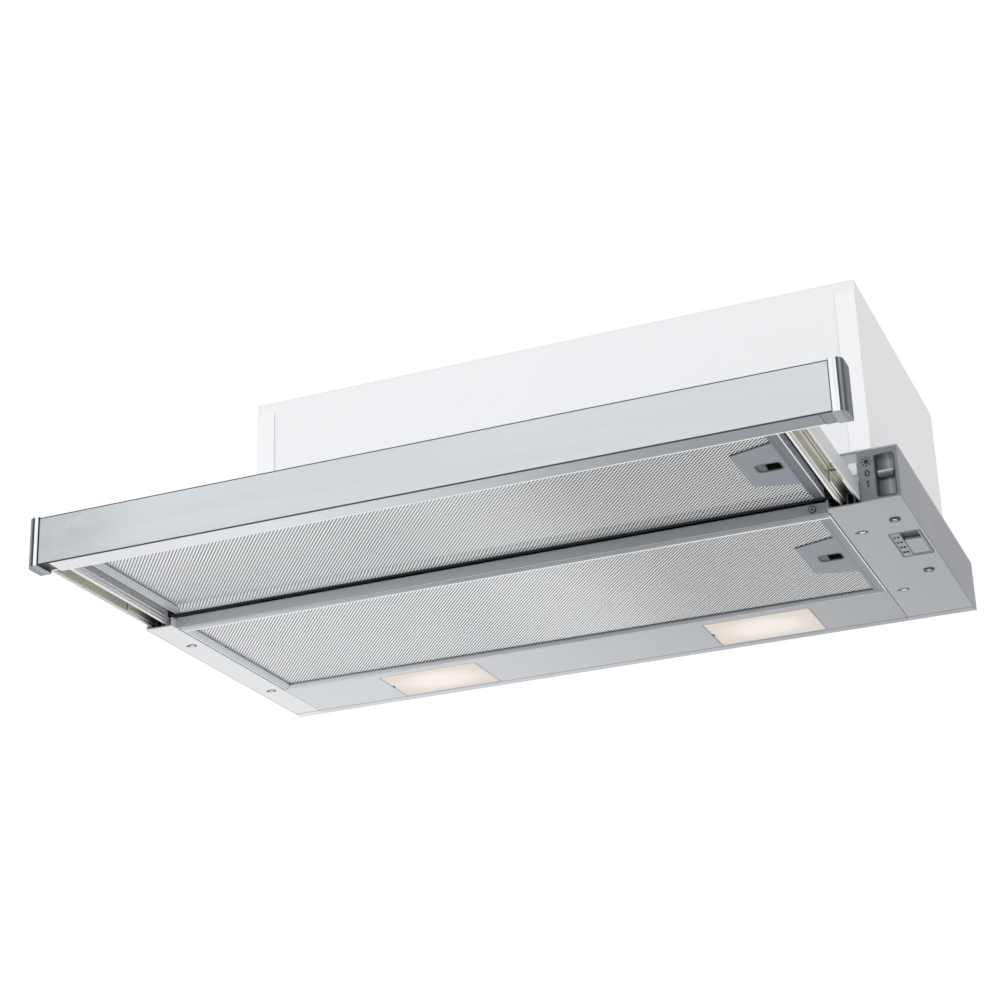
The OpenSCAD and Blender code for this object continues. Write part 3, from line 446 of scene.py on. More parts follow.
@dataclass(frozen=True)
class ZincRunner(Finish):
    """Yellow-passivated steel in stripes along the run: the gold and olive tint is its own, the pale stripes are
    painted highlights on the inner ridges, the dark ones painted shade in the channel, and the end at the base is
    darker with painted shade.
    """

    middles: Pair
    half: float
    dark_y: float = -258.0

    def sockets(self, g: Graph) -> dict[str, Any]:
        """The shader's sockets."""
        inwards = (g.x - self.middles[0]).least(self.middles[1] - g.x) / self.half
        stain = g.noise((90.0, 9.0, 90.0), 3.0, 0.6)
        grain = g.noise((1800.0, 14.0, 1800.0))
        shift = inwards * 0.5 + 0.5 + 0.08 * (stain - 0.5)
        # Partly painted light: pale stripes are painted highlights, dark ones painted shade, on the runner's own gold
        # and olive tint.
        ramp = g.ramp(shift, (0.0, (232, 233, 230)), (1.0, (226, 226, 218)), (0.2, (222, 222, 214)),
                      (0.27, (196, 172, 102)), (0.38, (140, 132, 90)), (0.5, (234, 232, 214)), (0.6, (128, 121, 88)),
                      (0.68, (242, 242, 236)), (0.76, (120, 116, 94)), (0.86, (248, 248, 244)))
        # Painted shade: darker towards the base, where the runner goes in.
        dark_end = 1.0 - 0.7 * g.smooth(g.y, self.dark_y - 26.0, self.dark_y)
        factor = (0.9 + 0.2 * grain + 0.14 * stain) * dark_end
        return dict(Base_Color=g.shade(ramp, factor), Metallic=0.7,
                    Roughness=0.32 + 0.2 * stain, Normal=g.bump(grain, 0.02, 0.3))


@dataclass(frozen=True)
class MouldedPlastic(Finish):
    """Moulded plastic with a fine spark-eroded grain and faint flow marks."""

    colour: Triple
    rough: float = 0.45

    def tone(self, g: Graph) -> Any:
        """The colour before the grain and the flow marks."""
        return self.colour

    def sockets(self, g: Graph) -> dict[str, Any]:
        """The shader's sockets."""
        grain = g.noise(2200.0, 2.0, 0.6)
        flow = g.noise((30.0, 30.0, 12.0))
        return dict(Base_Color=g.shade(self.tone(g), 0.9 + 0.1 * grain + 0.1 * flow),
                    Roughness=self.rough + 0.12 * flow, Normal=g.bump(grain, 0.025, 0.5))


@dataclass(frozen=True)
class WeaveWire(Finish):
    """Flattened aluminium strands with painted light: highlights on the crowns, shade on the flanks and on the second
    family at the left, and paler towards the left end where the light falls.
    """

    crown_z: float
    depth: float
    bright: Triple = (252, 254, 255)
    bright_right: Triple = (252, 253, 255)
    deep: Triple = (146, 150, 157)
    deep_right: Triple = (38, 40, 44)
    second: float = 0.0
    fall: float = 0.0
    fall_from: float = 0.0
    metal: float = 0.9

    def sockets(self, g: Graph) -> dict[str, Any]:
        """The shader's sockets."""
        patch = g.noise(34.0)
        spark = g.noise(480.0, 1.0)
        # Painted light: paler at the left end, darker at the right.
        run = g.smooth(g.x, -190.0, 130.0)
        start = self.crown_z + 0.75 * self.depth - run * (0.5 * self.depth)
        height = g.z - (g.y - self.fall_from) * self.fall
        # Painted highlight on the crowns, painted shade down the flanks.
        down = g.smooth(height, start, start + 0.35 * self.depth)
        flank = g.mix(g.mix(self.bright, self.deep, 0.1), self.deep_right, run)
        crown = g.mix(self.bright, self.bright_right, run)
        # Painted shade: the second family is dark at the left.
        shown = 1.0 - self.second * (1.0 - g.smooth(g.x, -80.0, 60.0))
        tone = g.mix(self.deep, g.mix(crown, flank, down), shown)
        return dict(Base_Color=g.shade(tone, 0.94 + 0.08 * patch + 0.08 * spark), Metallic=self.metal,
                    Roughness=0.14 + 0.14 * spark)


@dataclass(frozen=True)
class MeshBacking(Finish):
    """The deeper mesh layers, painted on one sheet: crossed grey wires and dark gaps, both painted shade, darker to the
    right as painted light falls off.
    """

    pitch_x: float
    pitch_y: float

    def sockets(self, g: Graph) -> dict[str, Any]:
        """The product of two diagonal sine waves gives the diamonds."""
        turn = 2.0 * np.pi
        rising = (g.x * (turn / self.pitch_x) + g.y * (turn / self.pitch_y) + 1.3).sine()
        falling = (g.x * (turn / self.pitch_x) - g.y * (turn / self.pitch_y) + 0.4).sine()
        holes = g.smooth(rising * falling, -0.5, 0.7)
        patch = g.noise(30.0)
        # Painted light: wires and gaps brighter at the left, darker at the right.
        run = g.smooth(g.x, -200.0, 60.0)
        wires = g.mix((120, 124, 131), (50, 53, 58), run)
        gaps = g.mix((66, 70, 76), (18, 19, 22), run)
        return dict(Base_Color=g.shade(g.mix(wires, gaps, holes), 0.9 + 0.2 * patch), Metallic=0.4,
                    Roughness=0.5 + 0.1 * patch, Normal=g.bump(holes, 0.3, 0.5))


@dataclass(frozen=True, kw_only=True)
class HandlePlastic(MouldedPlastic):
    """Satin handle plate whose finger pocket is painted dark inside as shade."""

    pocket: Box
    mouth_z: float
    colour: Triple = (150, 155, 163)
    rough: float = 0.46
    # Painted shade inside the pocket.
    inside: Triple = (20, 21, 24)

    def tone(self, g: Graph) -> Wire:
        """The plate's colour, and the dark inner one, painted shade, in the pocket."""
        return g.mix(self.colour, self.inside, g.hollow(self.pocket, self.mouth_z))


@dataclass(frozen=True)
class RecessSheen(Finish):
    """Glossy moulded plastic with painted light: pale and dark bands across X are painted highlights and shade on the
    hollow's curve.
    """

    left: float
    right: float

    def sockets(self, g: Graph) -> dict[str, Any]:
        """A ramp of painted highlight and shade greys follows X from one side to the other."""
        flow = g.noise((80.0, 80.0, 12.0))
        across = (g.x - self.left) / (self.right - self.left)
        tone = g.ramp(across, (0.0, (66, 70, 75)), (1.0, (52, 55, 60)), (0.22, (74, 79, 84)), (0.5, (112, 117, 123)),
                      (0.68, (160, 165, 170)), (0.8, (120, 125, 131)), (0.9, (150, 154, 160)))
        return dict(Base_Color=g.shade(tone, 0.92 + 0.14 * flow), Roughness=0.3 + 0.1 * flow)


@dataclass(frozen=True)
class BarPlastic(Finish):
    """Slider bar with a painted highlight on its upper edge and painted shade on its lower side."""

    middle_z: float
    half_z: float

    def sockets(self, g: Graph) -> dict[str, Any]:
        """A ramp of painted highlight and shade greys follows the height over the bar."""
        grain = g.noise(1500.0)
        rise = (g.z - (self.middle_z - self.half_z)) / (2.0 * self.half_z)
        tone = g.ramp(rise, (0.0, (58, 61, 66)), (1.0, (120, 125, 131)), (0.4, (92, 96, 102)), (0.6, (126, 131, 137)),
                      (0.76, (206, 210, 214)), (0.88, (168, 173, 178)))
        return dict(Base_Color=g.shade(tone, 0.94 + 0.1 * grain), Roughness=0.3 + 0.1 * grain,
                    Normal=g.bump(grain, 0.02, 0.3))


@dataclass(frozen=True)
class PlateRecess(Finish):
    """Switch plate in the panel's grey with a hollow for its slider, painted dark as shade."""

    hollow: Box
    mouth_z: float
    colour: Triple = (160, 163, 168)
    inside: Triple = (74, 77, 82)

    def sockets(self, g: Graph) -> dict[str, Any]:
        """The painted shade in the hollow is darkest at its front end."""
        grain = g.noise(2200.0, 2.0, 0.6)
        deep = g.hollow(self.hollow, self.mouth_z)
        fade = 0.6 + 0.5 * g.smooth(g.y, self.hollow[2], self.hollow[3])
        tone = g.mix(self.colour, self.inside, deep)
        return dict(Base_Color=g.shade(tone, (0.92 + 0.14 * grain) * (1.0 - deep * (1.0 - fade))),
                    Roughness=0.4 + 0.12 * grain, Normal=g.bump(grain, 0.025, 0.5))


@dataclass(frozen=True)
class FrostedLens(Finish):
    """Frosted lamp window, lit softly from a bulb behind its middle."""

    middle: Pair
    half: Pair
    glow: float = 0.18
    rim_share: float = 0.97

    def sockets(self, g: Graph) -> dict[str, Any]:
        """The glow falls off with the distance from the lamp's middle."""
        frost = g.noise(700.0)
        across = (g.x - self.middle[0]) / self.half[0]
        deep = (g.y - self.middle[1]) / self.half[1]
        away = across * across + deep * deep
        tone = g.mix((243, 236, 228), (232, 222, 212), g.smooth(away, 0.0, 1.6))
        glow = g.mix((255, 248, 234), (176, 148, 130), g.smooth(away, 0.0, 0.8))
        inside = g.band(across, -self.rim_share, self.rim_share, 0.006)
        inside = inside * g.band(deep, -self.rim_share, self.rim_share, 0.008)
        return dict(Base_Color=g.shade(tone, (0.97 + 0.05 * frost) * (0.6 + 0.4 * inside)),
                    Roughness=0.4 + 0.15 * frost, Emission_Color=glow, Emission_Strength=self.glow,
                    Normal=g.bump(frost, 0.05, 0.4))


@dataclass(frozen=True)
class OpalGlass(Finish):
    """Opal bulb glass."""

    def sockets(self, g: Graph) -> dict[str, Any]:
        """The shader's sockets."""
        swirl = g.noise(60.0)
        return dict(Base_Color=g.shade((248, 243, 232), 0.95 + 0.08 * swirl), Roughness=0.18 + 0.1 * swirl,
                    Emission_Color=g.mix((255, 244, 225), (250, 226, 190), swirl),
                    Emission_Strength=0.5)


@dataclass(frozen=True)
class SocketScrew(Finish):
    """Screw seen from the front round a middle in X and Z: pale head, with painted shade in its dark socket and round
    its dark edge.
    """

    middle: Pair
    socket: float = 0.9
    head: float = 2.1

    def sockets(self, g: Graph) -> dict[str, Any]:
        """The tones follow the distance from the screw's axis."""
        across, rise = g.x - self.middle[0], g.z - self.middle[1]
        away = (across * across + rise * rise) ** 0.5
        wear = g.noise(400.0)
        pale = g.band(away, self.socket, self.head, 0.15)
        return dict(Base_Color=g.shade(g.mix((40, 42, 46), (168, 172, 177), pale), 0.9 + 0.2 * wear),
                    Metallic=0.5, Roughness=0.35 + 0.1 * wear)


@dataclass(frozen=True)
class ScrewFace(Finish):
    """Two plated, slotted screws with turned rings round their middles, and painted shade in a dark ring round each
    head and in each slot.
    """

    middles: tuple[Pair, ...]
    radius: float

    def sockets(self, g: Graph) -> dict[str, Any]:
        """Rings follow the distance from the nearest screw's middle."""
        spots = []
        for x, y in self.middles:
            dx, dy = g.x - x, g.y - y
            spots.append(((dx * dx + dy * dy) ** 0.5, abs(dy)))
        away, aside = spots[0][0].least(spots[1][0]), spots[0][1].least(spots[1][1])
        ring = (away * 9.0).sine() * 0.5 + 0.5
        # Painted shade: a dark ring round each head and a dark slot across it.
        rim = g.smooth(away, self.radius - 2.0, self.radius - 1.5)
        groove = (1.0 - g.smooth(aside, 0.6, 1.0)) * (1.0 - rim)
        tone = g.mix((222, 226, 231), (40, 43, 48), rim.most(groove))
        return dict(Base_Color=g.shade(tone, 0.92 + 0.1 * ring), Metallic=0.85, Roughness=0.25 + 0.12 * ring)


def grid_faces(rows: int, columns: int, wrap_rows: bool = False, wrap_columns: bool = False) -> list[list[int]]:
    """Four-sided faces between neighbouring points of a grid.

    Args:
        rows: Points along the first parameter.
        columns: Points along the second parameter.
        wrap_rows: Whether the last row joins the first.
        wrap_columns: Whether the last column joins the first.

    Returns:
        Lists of four vertex numbers.
    """
    row = np.arange(rows if wrap_rows else rows - 1)[:, None]
    column = np.arange(columns if wrap_columns else columns - 1)[None, :]
    next_row, next_column = (row + 1) % rows, (column + 1) % columns
    corners = np.stack([row * columns + column, row * columns + next_column,
                        next_row * columns + next_column, next_row * columns + column], axis=-1)
    return corners.reshape(-1, 4).tolist()


def loft(rings: np.ndarray) -> Solid:
    """Closed solid through a row of closed rings, with a flat face on both ends.

    Point (i, j) of the surface is point j of ring i, and neighbours join in both directions.

    Args:
        rings: Array of rings by points by three coordinates.

    Returns:
        Vertices and faces.
    """
    count, points = rings.shape[:2]
    ends = [list(range(points))[::-1], [(count - 1) * points + j for j in range(points)]]
    return rings.reshape(-1, 3), grid_faces(count, points, wrap_columns=True) + ends


def plate(outline: np.ndarray, low: float, high: float, chamfer: float = 0.0) -> Solid:
    """Flat plate over an outline in X and Y, its high edge drawn in by a chamfer.

    Each ring is the outline at one height, shrunk towards its middle by the chamfer's share.

    Args:
        outline: Points of the outline.
        low: Height of the plate's first face.
        high: Height of its other face.
        chamfer: Width by which the other face is drawn in.

    Returns:
        Vertices and faces.
    """
    middle = outline.mean(axis=0)
    shrink = chamfer / np.abs(outline - middle).max(axis=0).min()
    shares = np.array([1.0, 1.0, 1.0 - shrink])[:, None, None]
    heights = np.array([low, high - np.sign(high - low) * chamfer, high])[:, None, None]
    flat = middle + (outline - middle) * shares
    return loft(np.concatenate([flat, np.repeat(heights, len(outline), axis=1)], axis=2))


def rectangle(left: float, right: float, front: float, rear: float) -> np.ndarray:
    """Outline of a rectangle from its four sides."""
    return np.array([[left, front], [right, front], [right, rear], [left, rear]])


def rounded(width: float, depth: float, corner: float, steps: int = 6) -> np.ndarray:
    """Outline of a rectangle with round corners about the origin.

    Each corner is a quarter circle of radius corner, from 0 to 90 degrees past the last one.

    Args:
        width: Size along the first axis.
        depth: Size along the second axis.
        corner: Radius of the corners.
        steps: Steps in each corner.

    Returns:
        Points in order, anticlockwise.
    """
    quarter = np.linspace(0.0, np.pi / 2, steps + 1)
    angles = (np.arange(4)[:, None] * np.pi / 2 + quarter[None, :]).ravel()
    signs = np.repeat(np.array([[1, 1], [-1, 1], [-1, -1], [1, -1]]), steps + 1, axis=0)
    centre = signs * (np.array([width, depth]) / 2 - corner)
    return centre + corner * np.stack([np.cos(angles), np.sin(angles)], axis=1)


def bead(outline: np.ndarray, width: float, height: float, level: float) -> Solid:
    """Raised bead that runs round a closed outline, with a half-round section.

    Point (i, j) lies on the outline's point i, moved outwards by width / 2 times cos(j) and
    up by height times sin(j).

    Args:
        outline: Points of the outline in X and Y.
        width: Width of the bead.
        height: Height of the bead, negative when it stands downwards.
        level: Height of its flat side.

    Returns:
        Vertices and faces.
    """
    run = np.roll(outline, -1, axis=0) - np.roll(outline, 1, axis=0)
    run /= np.maximum(np.linalg.norm(run, axis=1, keepdims=True), 1e-9)
    outward = np.stack([run[:, 1], -run[:, 0]], axis=1)
    section = np.linspace(0.0, np.pi, 6)
    flat = outline[:, None, :] + outward[:, None, :] * (width / 2 * np.cos(section))[None, :, None]
    rise = np.broadcast_to(level + height * np.sin(section)[None, :, None], flat.shape[:2] + (1,))
    points = np.concatenate([flat, rise], axis=2)
    return points.reshape(-1, 3), grid_faces(len(outline), len(section), True, True)


def dome(half: Sequence[float], rings: int = 6, points: int = 24) -> Solid:
    """Closed half ellipsoid that bulges downwards from the plane z = 0.

    Point (i, j) is (a cos t cos s, b cos t sin s, -c sin t) for angles t from 0 to near 90
    degrees and s round the circle, with a flat lid on the plane and a small one at the pole.

    Args:
        half: The half sizes a, b and c.
        rings: Rings from the rim to the pole.
        points: Points round each ring.

    Returns:
        Vertices and faces.
    """
    tilt = np.linspace(0.0, 0.49 * np.pi, rings)[:, None]
    turn = np.linspace(0.0, 2 * np.pi, points, endpoint=False)[None, :]
    return loft(np.stack([half[0] * np.cos(tilt) * np.cos(turn), half[1] * np.cos(tilt) * np.sin(turn),
                          -half[2] * np.sin(tilt) * np.ones_like(turn)], axis=-1))


def clip(start: np.ndarray, run: np.ndarray, low: np.ndarray, high: np.ndarray) -> tuple[np.ndarray, np.ndarray]:
    """Stretch of each line start + t * run that lies inside a box.

    Along each axis t lies between (low - start) / run and (high - start) / run; the stretch is
    from the largest of the near ends to the smallest of the far ones.

    Args:
        start: Points on the lines.
        run: The lines' common direction.
        low: The box's lowest corner.
        high: The box's highest corner.

    Returns:
        First and last t of each line.
    """
    ends = np.stack([(low - start) / run, (high - start) / run])
    return ends.min(axis=0).max(axis=1), ends.max(axis=0).min(axis=1)


def strands(run: np.ndarray, pitch: float, anchor: np.ndarray, outer: np.ndarray, hole: np.ndarray,
            width: float, crown: float, root: float) -> Solid:
    """Parallel strands with a three-sided section over a rectangle, left out over a hole.

    Line k passes through the anchor plus k times the pitch across the run. It is
    clipped to the rectangle, and split where it crosses the hole. Each remaining stretch
    becomes a prism with two corners at the root height and its ridge at the crown height.

    Args:
        run: Direction of the strands in X and Y.
        pitch: Distance between neighbouring strands.
        anchor: Point on the line with the number 0.
        outer: Lowest and highest corner of the rectangle.
        hole: Lowest and highest corner of the hole.
        width: Width of a strand.
        crown: Height of the ridge.
        root: Height of the two other corners.

    Returns:
        Vertices and faces.
    """
    across = np.array([-run[1], run[0]])
    reach = np.abs(outer[1] - outer[0]).sum() / 2 + np.abs(outer.mean(axis=0) - anchor).sum()
    count = int(np.ceil(reach / pitch)) + 1
    start = anchor + np.arange(-count, count + 1)[:, None] * pitch * across
    first, last = clip(start, run, outer[0], outer[1])
    enter, leave = clip(start, run, hole[0], hole[1])
    misses = enter >= leave
    enter, leave = np.where(misses, last, enter), np.where(misses, last, leave)
    begin, end = np.concatenate([first, leave]), np.concatenate([np.minimum(enter, last), last])
    start = np.concatenate([start, start])
    kept = end - begin > width
    start, begin, end = start[kept], begin[kept], end[kept]
    tips = np.stack([start + run * begin[:, None], start + run * end[:, None]], axis=1)
    sides = np.array([-width / 2, width / 2, 0.0])
    flat = tips[:, :, None, :] + across * sides[None, None, :, None]
    heights = np.broadcast_to(np.array([root, root, crown])[None, None, :, None], flat.shape[:3] + (1,))
    points = np.concatenate([flat, heights], axis=3).reshape(-1, 3)
    prisms = np.arange(len(start))[:, None, None] * 6
    quads = (prisms + np.array([[0, 1, 4, 3], [1, 2, 5, 4], [2, 0, 3, 5]])).reshape(-1, 4)
    caps = (prisms + np.array([[0, 2, 1], [3, 4, 5]])).reshape(-1, 3)
    return points, quads.tolist() + caps.tolist()


class Workshop:
    """Makes pieces from arrays, dresses CAD nodes, and keeps the finished materials."""

    def __init__(self) -> None:
        """Starts with no materials."""
        self.materials: dict[str, bpy.types.Material] = {}

    def finish(self, name: str, style: Finish) -> bpy.types.Material:
        """The material of a finish, built on first use."""
        if name not in self.materials:
            self.materials[name] = style.make(name)
        return self.materials[name]

    def dress(self, nodes: Sequence[str], name: str, style: Finish, edge: Edge = Edge.SHEET) -> None:
        """Gives CAD nodes a finish and rounds their edges.

        Args:
            nodes: The CAD nodes' names.
            name: The material's name.
            style: The finish.
            edge: How far the edges are rounded.
        """
        material = self.finish(name, style)
        for node in nodes:
            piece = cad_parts[node]
            piece.data.materials.clear()
            piece.data.materials.append(material)
            if edge is not Edge.NONE:
                weld = piece.modifiers.new("weld", "WELD")
                weld.merge_threshold = 0.001 * MM
                bevel = piece.modifiers.new("edges", "BEVEL")
                bevel.width, bevel.segments = edge.value * MM, 2
                bevel.limit_method, bevel.angle_limit = "ANGLE", np.radians(40.0)
            log.info("dressed %s as %s", node, name)

    def piece(self, name: str, solid: Solid, body: str, slot: Slot, finish: str, style: Finish,
              replaces: Sequence[str] = (), smooth: bool = True) -> None:
        """Makes one new piece and hands it to the frame.

        Args:
            name: The piece's name.
            solid: Vertices in millimetres, and faces.
            body: The CAD body that it rides on.
            slot: The record's slot that its finish belongs to; not used.
            finish: Its material's name.
            style: Its finish.
            replaces: The CAD nodes that it stands for.
            smooth: Whether it is shaded smooth between its sharp edges.
        """
        vertices, faces = solid
        mesh = bpy.data.meshes.new(name)
        mesh.from_pydata((vertices * MM).tolist(), [], faces)
        mesh.update()
        mesh.validate()
        self.outwards(mesh)
        if smooth:
            mesh.polygons.foreach_set("use_smooth", np.ones(len(mesh.polygons), dtype=bool))
            mesh.set_sharp_from_angle(angle=np.radians(35.0))
        mesh.materials.append(self.finish(finish, style))
        made = bpy.data.objects.new(name, mesh)
        bpy.context.scene.collection.objects.link(made)
        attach(made, body)
        if replaces:
            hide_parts(*replaces)
        log.info("made %s: %d faces on %s", name, len(mesh.polygons), body)

    @staticmethod
    def outwards(mesh: bpy.types.Mesh) -> None:
        """Turns the faces of closed shells so that they point outwards."""
        work = bmesh.new()
        work.from_mesh(mesh)
        bmesh.ops.recalc_face_normals(work, faces=work.faces)
        work.to_mesh(mesh)
        work.free()


def joined(solids: Sequence[Solid]) -> Solid:
    """One vertex and face list out of several closed solids."""
    starts = np.cumsum([0] + [len(points) for points, _ in solids])
    faces = [[int(start + corner) for corner in face] for start, (_, some) in zip(starts, solids) for face in some]
    return np.concatenate([points for points, _ in solids]), faces


def moved(solid: Solid, place: Sequence[float]) -> Solid:
    """A solid moved to a place."""
    return solid[0] + np.asarray(place, dtype=float), solid[1]


def upright(solid: Solid) -> Solid:
    """Stands a flat solid up in the plane of X and Z: (x, y, z) becomes (x, -z, y)."""
    return solid[0][:, [0, 2, 1]] * np.array([1.0, -1.0, 1.0]), solid[1]


@dataclass
class BaseHousing:
    """Housing under the cabinet: plates, side walls, crossbar, screws and lanced tabs."""

    shop: Workshop
    under: float = -39.5
    screws: tuple[Pair, ...] = ((282.6, -220.2), (282.6, -108.8))
    screw_radius: float = 4.0
    bar_screw: Pair = (232.5, -35.25)
    tabs_right: tuple[Pair, ...] = ((254.6, -205.7), (254.6, -73.6))
    tabs_left: tuple[Pair, ...] = ((-285.6, -211.6), (-285.6, -77.7))
    tab_shift: float = 1.4
    tab_half: Triple = (2.5, 1.9, 0.7)
    tab_rim: Pair = (1.8, -0.2)
    closers: tuple[Pair, ...] = ((-295.9, -281.6), (254.6, 268.4))
    closer_z: Pair = (-22.7, -1.1)
    closer_y: float = -259.2
    seam_y: float = -9.0
    guide_size: Triple = (6.0, 9.0, 1.3)
    guide_place: Triple = (264.8, -259.3, -13.5)

    def front_plates(self) -> None:
        """Plates that close the base's front above both arms, and the right arm's guide."""
        plates = [moved(upright(plate(rectangle(left, right, *self.closer_z), -0.8, 0.0, 0.1)),
                        (0.0, self.closer_y, 0.0)) for left, right in self.closers]
        self.shop.piece("base_front_closers", joined(plates), "housing", Slot.SILVER_ENAMEL,
                        "closer_enamel", SatinEnamel(left=(200, 203, 206), right=(168, 174, 176)),
                        smooth=False)
        width, height, thick = self.guide_size
        guide = upright(plate(rounded(width, height, 1.2), 0.0, thick, 0.3))
        self.shop.piece("arm_guide", moved(guide, self.guide_place), "housing",
                        Slot.WHITE_PLASTIC, "guide_plastic", MouldedPlastic((226, 228, 228)))

    def build(self) -> None:
        """Dresses the sheets and adds the tabs' domes, and dark rims of painted shade round them."""
        # Each enamel copy runs from a lit left colour to a shaded right one as painted light.
        panels = SatinEnamel(left=(240, 242, 244), right=(178, 181, 186), seam_y=self.seam_y)
        self.shop.dress(["base_top_plate", "underside_panel_left", "underside_panel_right"], "silver_enamel",
                        panels, Edge.NONE)
        self.shop.dress(["underside_panel_rear"], "rear_enamel",
                        SatinEnamel(left=(222, 225, 228), right=(172, 175, 179), seam_y=self.seam_y), Edge.NONE)
        # Painted shade: the side walls' enamel is a darker, shaded copy.
        self.shop.dress(["base_side_left", "base_side_right"], "side_enamel",
                        SatinEnamel(left=(196, 199, 203), right=(146, 149, 154), metallic=0.25))
        self.shop.dress(["crossbar"], "crossbar_enamel",
                        SatinEnamel(left=(206, 209, 213), right=(173, 178, 182), metallic=0.3))
        self.front_plates()
        self.shop.dress(["panel_screws"], "screw_face", ScrewFace(self.screws, self.screw_radius), Edge.FINE)
        self.shop.dress(["crossbar_screw"], "socket_screw", SocketScrew(self.bar_screw), Edge.FINE)
        self.shop.dress(["drawer_rear_bar"], "black_oxide",
                        SatinMetal((58, 61, 66), metallic=0.6, rough=0.4), Edge.FINE)
        width, depth = 2 * self.tab_half[0] + 0.7, 2 * self.tab_half[1] + 0.7
        for side, places in (("right", self.tabs_right), ("left", self.tabs_left)):
            middles = [np.array([x + self.tab_shift, y]) for x, y in places]
            domes = [moved(dome(self.tab_half), (*middle, self.under + 0.1)) for middle in middles]
            self.shop.piece("tab_domes_" + side, joined(domes), "housing", Slot.SILVER_ENAMEL, "tab_metal",
                            SatinMetal((238, 240, 243), metallic=0.4))
            # Painted shade: a dark bead round each tab.
            rims = [bead(rounded(width, depth, 1.7) + middle, *self.tab_rim, self.under) for middle in middles]
            self.shop.piece("tab_shadow_rims_" + side, joined(rims), "housing", Slot.SILVER_ENAMEL, "tab_shadow",
                            MouldedPlastic((34, 36, 40), rough=0.35))


@dataclass
class UpperBody:
    """White upper body with its outlet, gland and the parts inside it."""

    shop: Workshop
    top_z: float = 132.5
    folds: Pair = (-186.5, 264.0)
    screw: float = 3.6
    screw_x: tuple[float, ...] = (-193.0, 38.0, 270.0)
    screw_y: tuple[float, ...] = (-251.0, -9.0)

    def build(self) -> None:
        """Dresses the sheets, the outlet and the inner parts, and adds the top sheet's screws."""
        dress = self.shop.dress
        dress(["body_front_sheet"], "white_enamel", PowderCoat())
        dress(["body_top_sheet"], "white_enamel", PowderCoat(), Edge.NONE)
        # The side sheets' white is a lit copy of the front's enamel, set lighter for how it renders, with painted shade
        # at the flange folds.
        dress(["body_side_left", "body_side_right"], "white_side", PowderCoat((251, 252, 254), self.folds))
        dress(["body_back_sheet", "lamp_boxes", "motor_bracket"], "galvanised",
              SatinMetal((186, 190, 194), along=45.0, metallic=0.5, contrast=0.3))
        dress(["outlet_collar", "mains_gland"], "black_plastic", MouldedPlastic((38, 38, 40)), Edge.FINE)
        dress(["flap_front", "flap_rear"], "flap_plastic", MouldedPlastic((52, 53, 55), rough=0.5), Edge.NONE)
        dress(["light_switch_block", "speed_switch_block"], "block_plastic", MouldedPlastic((30, 30, 32)))
        dress(["blower_scroll", "blower_side_plate", "impeller"], "blower_plastic",
              MouldedPlastic((84, 87, 90), rough=0.5), Edge.NONE)
        dress(["motor", "motor_shaft"], "motor_steel", SatinMetal((112, 115, 119), metallic=0.7), Edge.FINE)
        dress(["terminal_box", "capacitor", "lamp_holders"], "white_plastic", MouldedPlastic((226, 226, 220)),
              Edge.FINE)
        points, faces = dome((self.screw, self.screw, 0.6 * self.screw))
        heads = [moved((points * np.array([1.0, 1.0, -1.0]), faces), (x, y, self.top_z - 0.05))
                 for x in self.screw_x for y in self.screw_y]
        self.shop.piece("top_sheet_screws", joined(heads), "housing", Slot.GALVANISED,
                        "screw_zinc", SatinMetal((196, 199, 202), rough=0.25))


@dataclass
class Drawer:
    """Pull-out drawer: fascia, rail, end caps, arms, cover and the rail's closer."""

    shop: Workshop
    panel_half: float = 289.5
    cap_edge: float = 299.0
    left_corner: float = 6.6
    rib_size: Triple = (1.4, 138.0, 0.9)
    rib_y: float = -332.0
    ribs: tuple[Pair, ...] = ((-280.0, -36.2), (-280.0, -33.2), (-280.0, -30.2), (252.6, -36.2))
    closer: Box = (281.2, 289.4, -420.6, -403.6)
    closer_z: Pair = (-40.0, -41.2)

    def build(self) -> None:
        """Dresses the drawer's pieces, and adds ribs on the arms and a closer under the rail."""
        dress = self.shop.dress
        dress(["fascia_panel"], "brushed_face", BrushedSteel())
        dress(["fascia_rail"], "anodised_rail", RailAluminium())
        dress(["end_cap_left"], "chrome_left", Chrome(self.panel_half, self.cap_edge, -1.0, self.left_corner))
        dress(["end_cap_right"], "chrome_right", Chrome(self.panel_half, self.cap_edge, 1.0))
        # Painted light: the arms' enamel is near white at the left to offset the shade in their pocket, and the cover's
        # is brightened the same way.
        dress(["drawer_arm_left", "drawer_arm_right"], "arm_enamel",
              SatinEnamel(left=(254, 254, 255), right=(216, 218, 222), metallic=0.1))
        dress(["drawer_cover"], "cover_enamel", SatinEnamel(left=(236, 238, 241), right=(206, 208, 212), metallic=0.4))
        width, length, rise = self.rib_size
        rib = plate(rounded(width, length, 0.3, 2), 0.0, rise, 0.2)
        ribs = [moved(rib, (x, self.rib_y, z)) for x, z in self.ribs]
        self.shop.piece("arm_ribs", joined(ribs), "drawer", Slot.ARM_ENAMEL,
                        "rib_metal", SatinMetal((250, 251, 253), metallic=0.9, rough=0.2,
                                                                 contrast=0.04))
        self.shop.piece("rail_closer_right", plate(rectangle(*self.closer), *self.closer_z, 0.1), "drawer", Slot.CHROME,
                        "closer_metal", SatinMetal(), smooth=False)


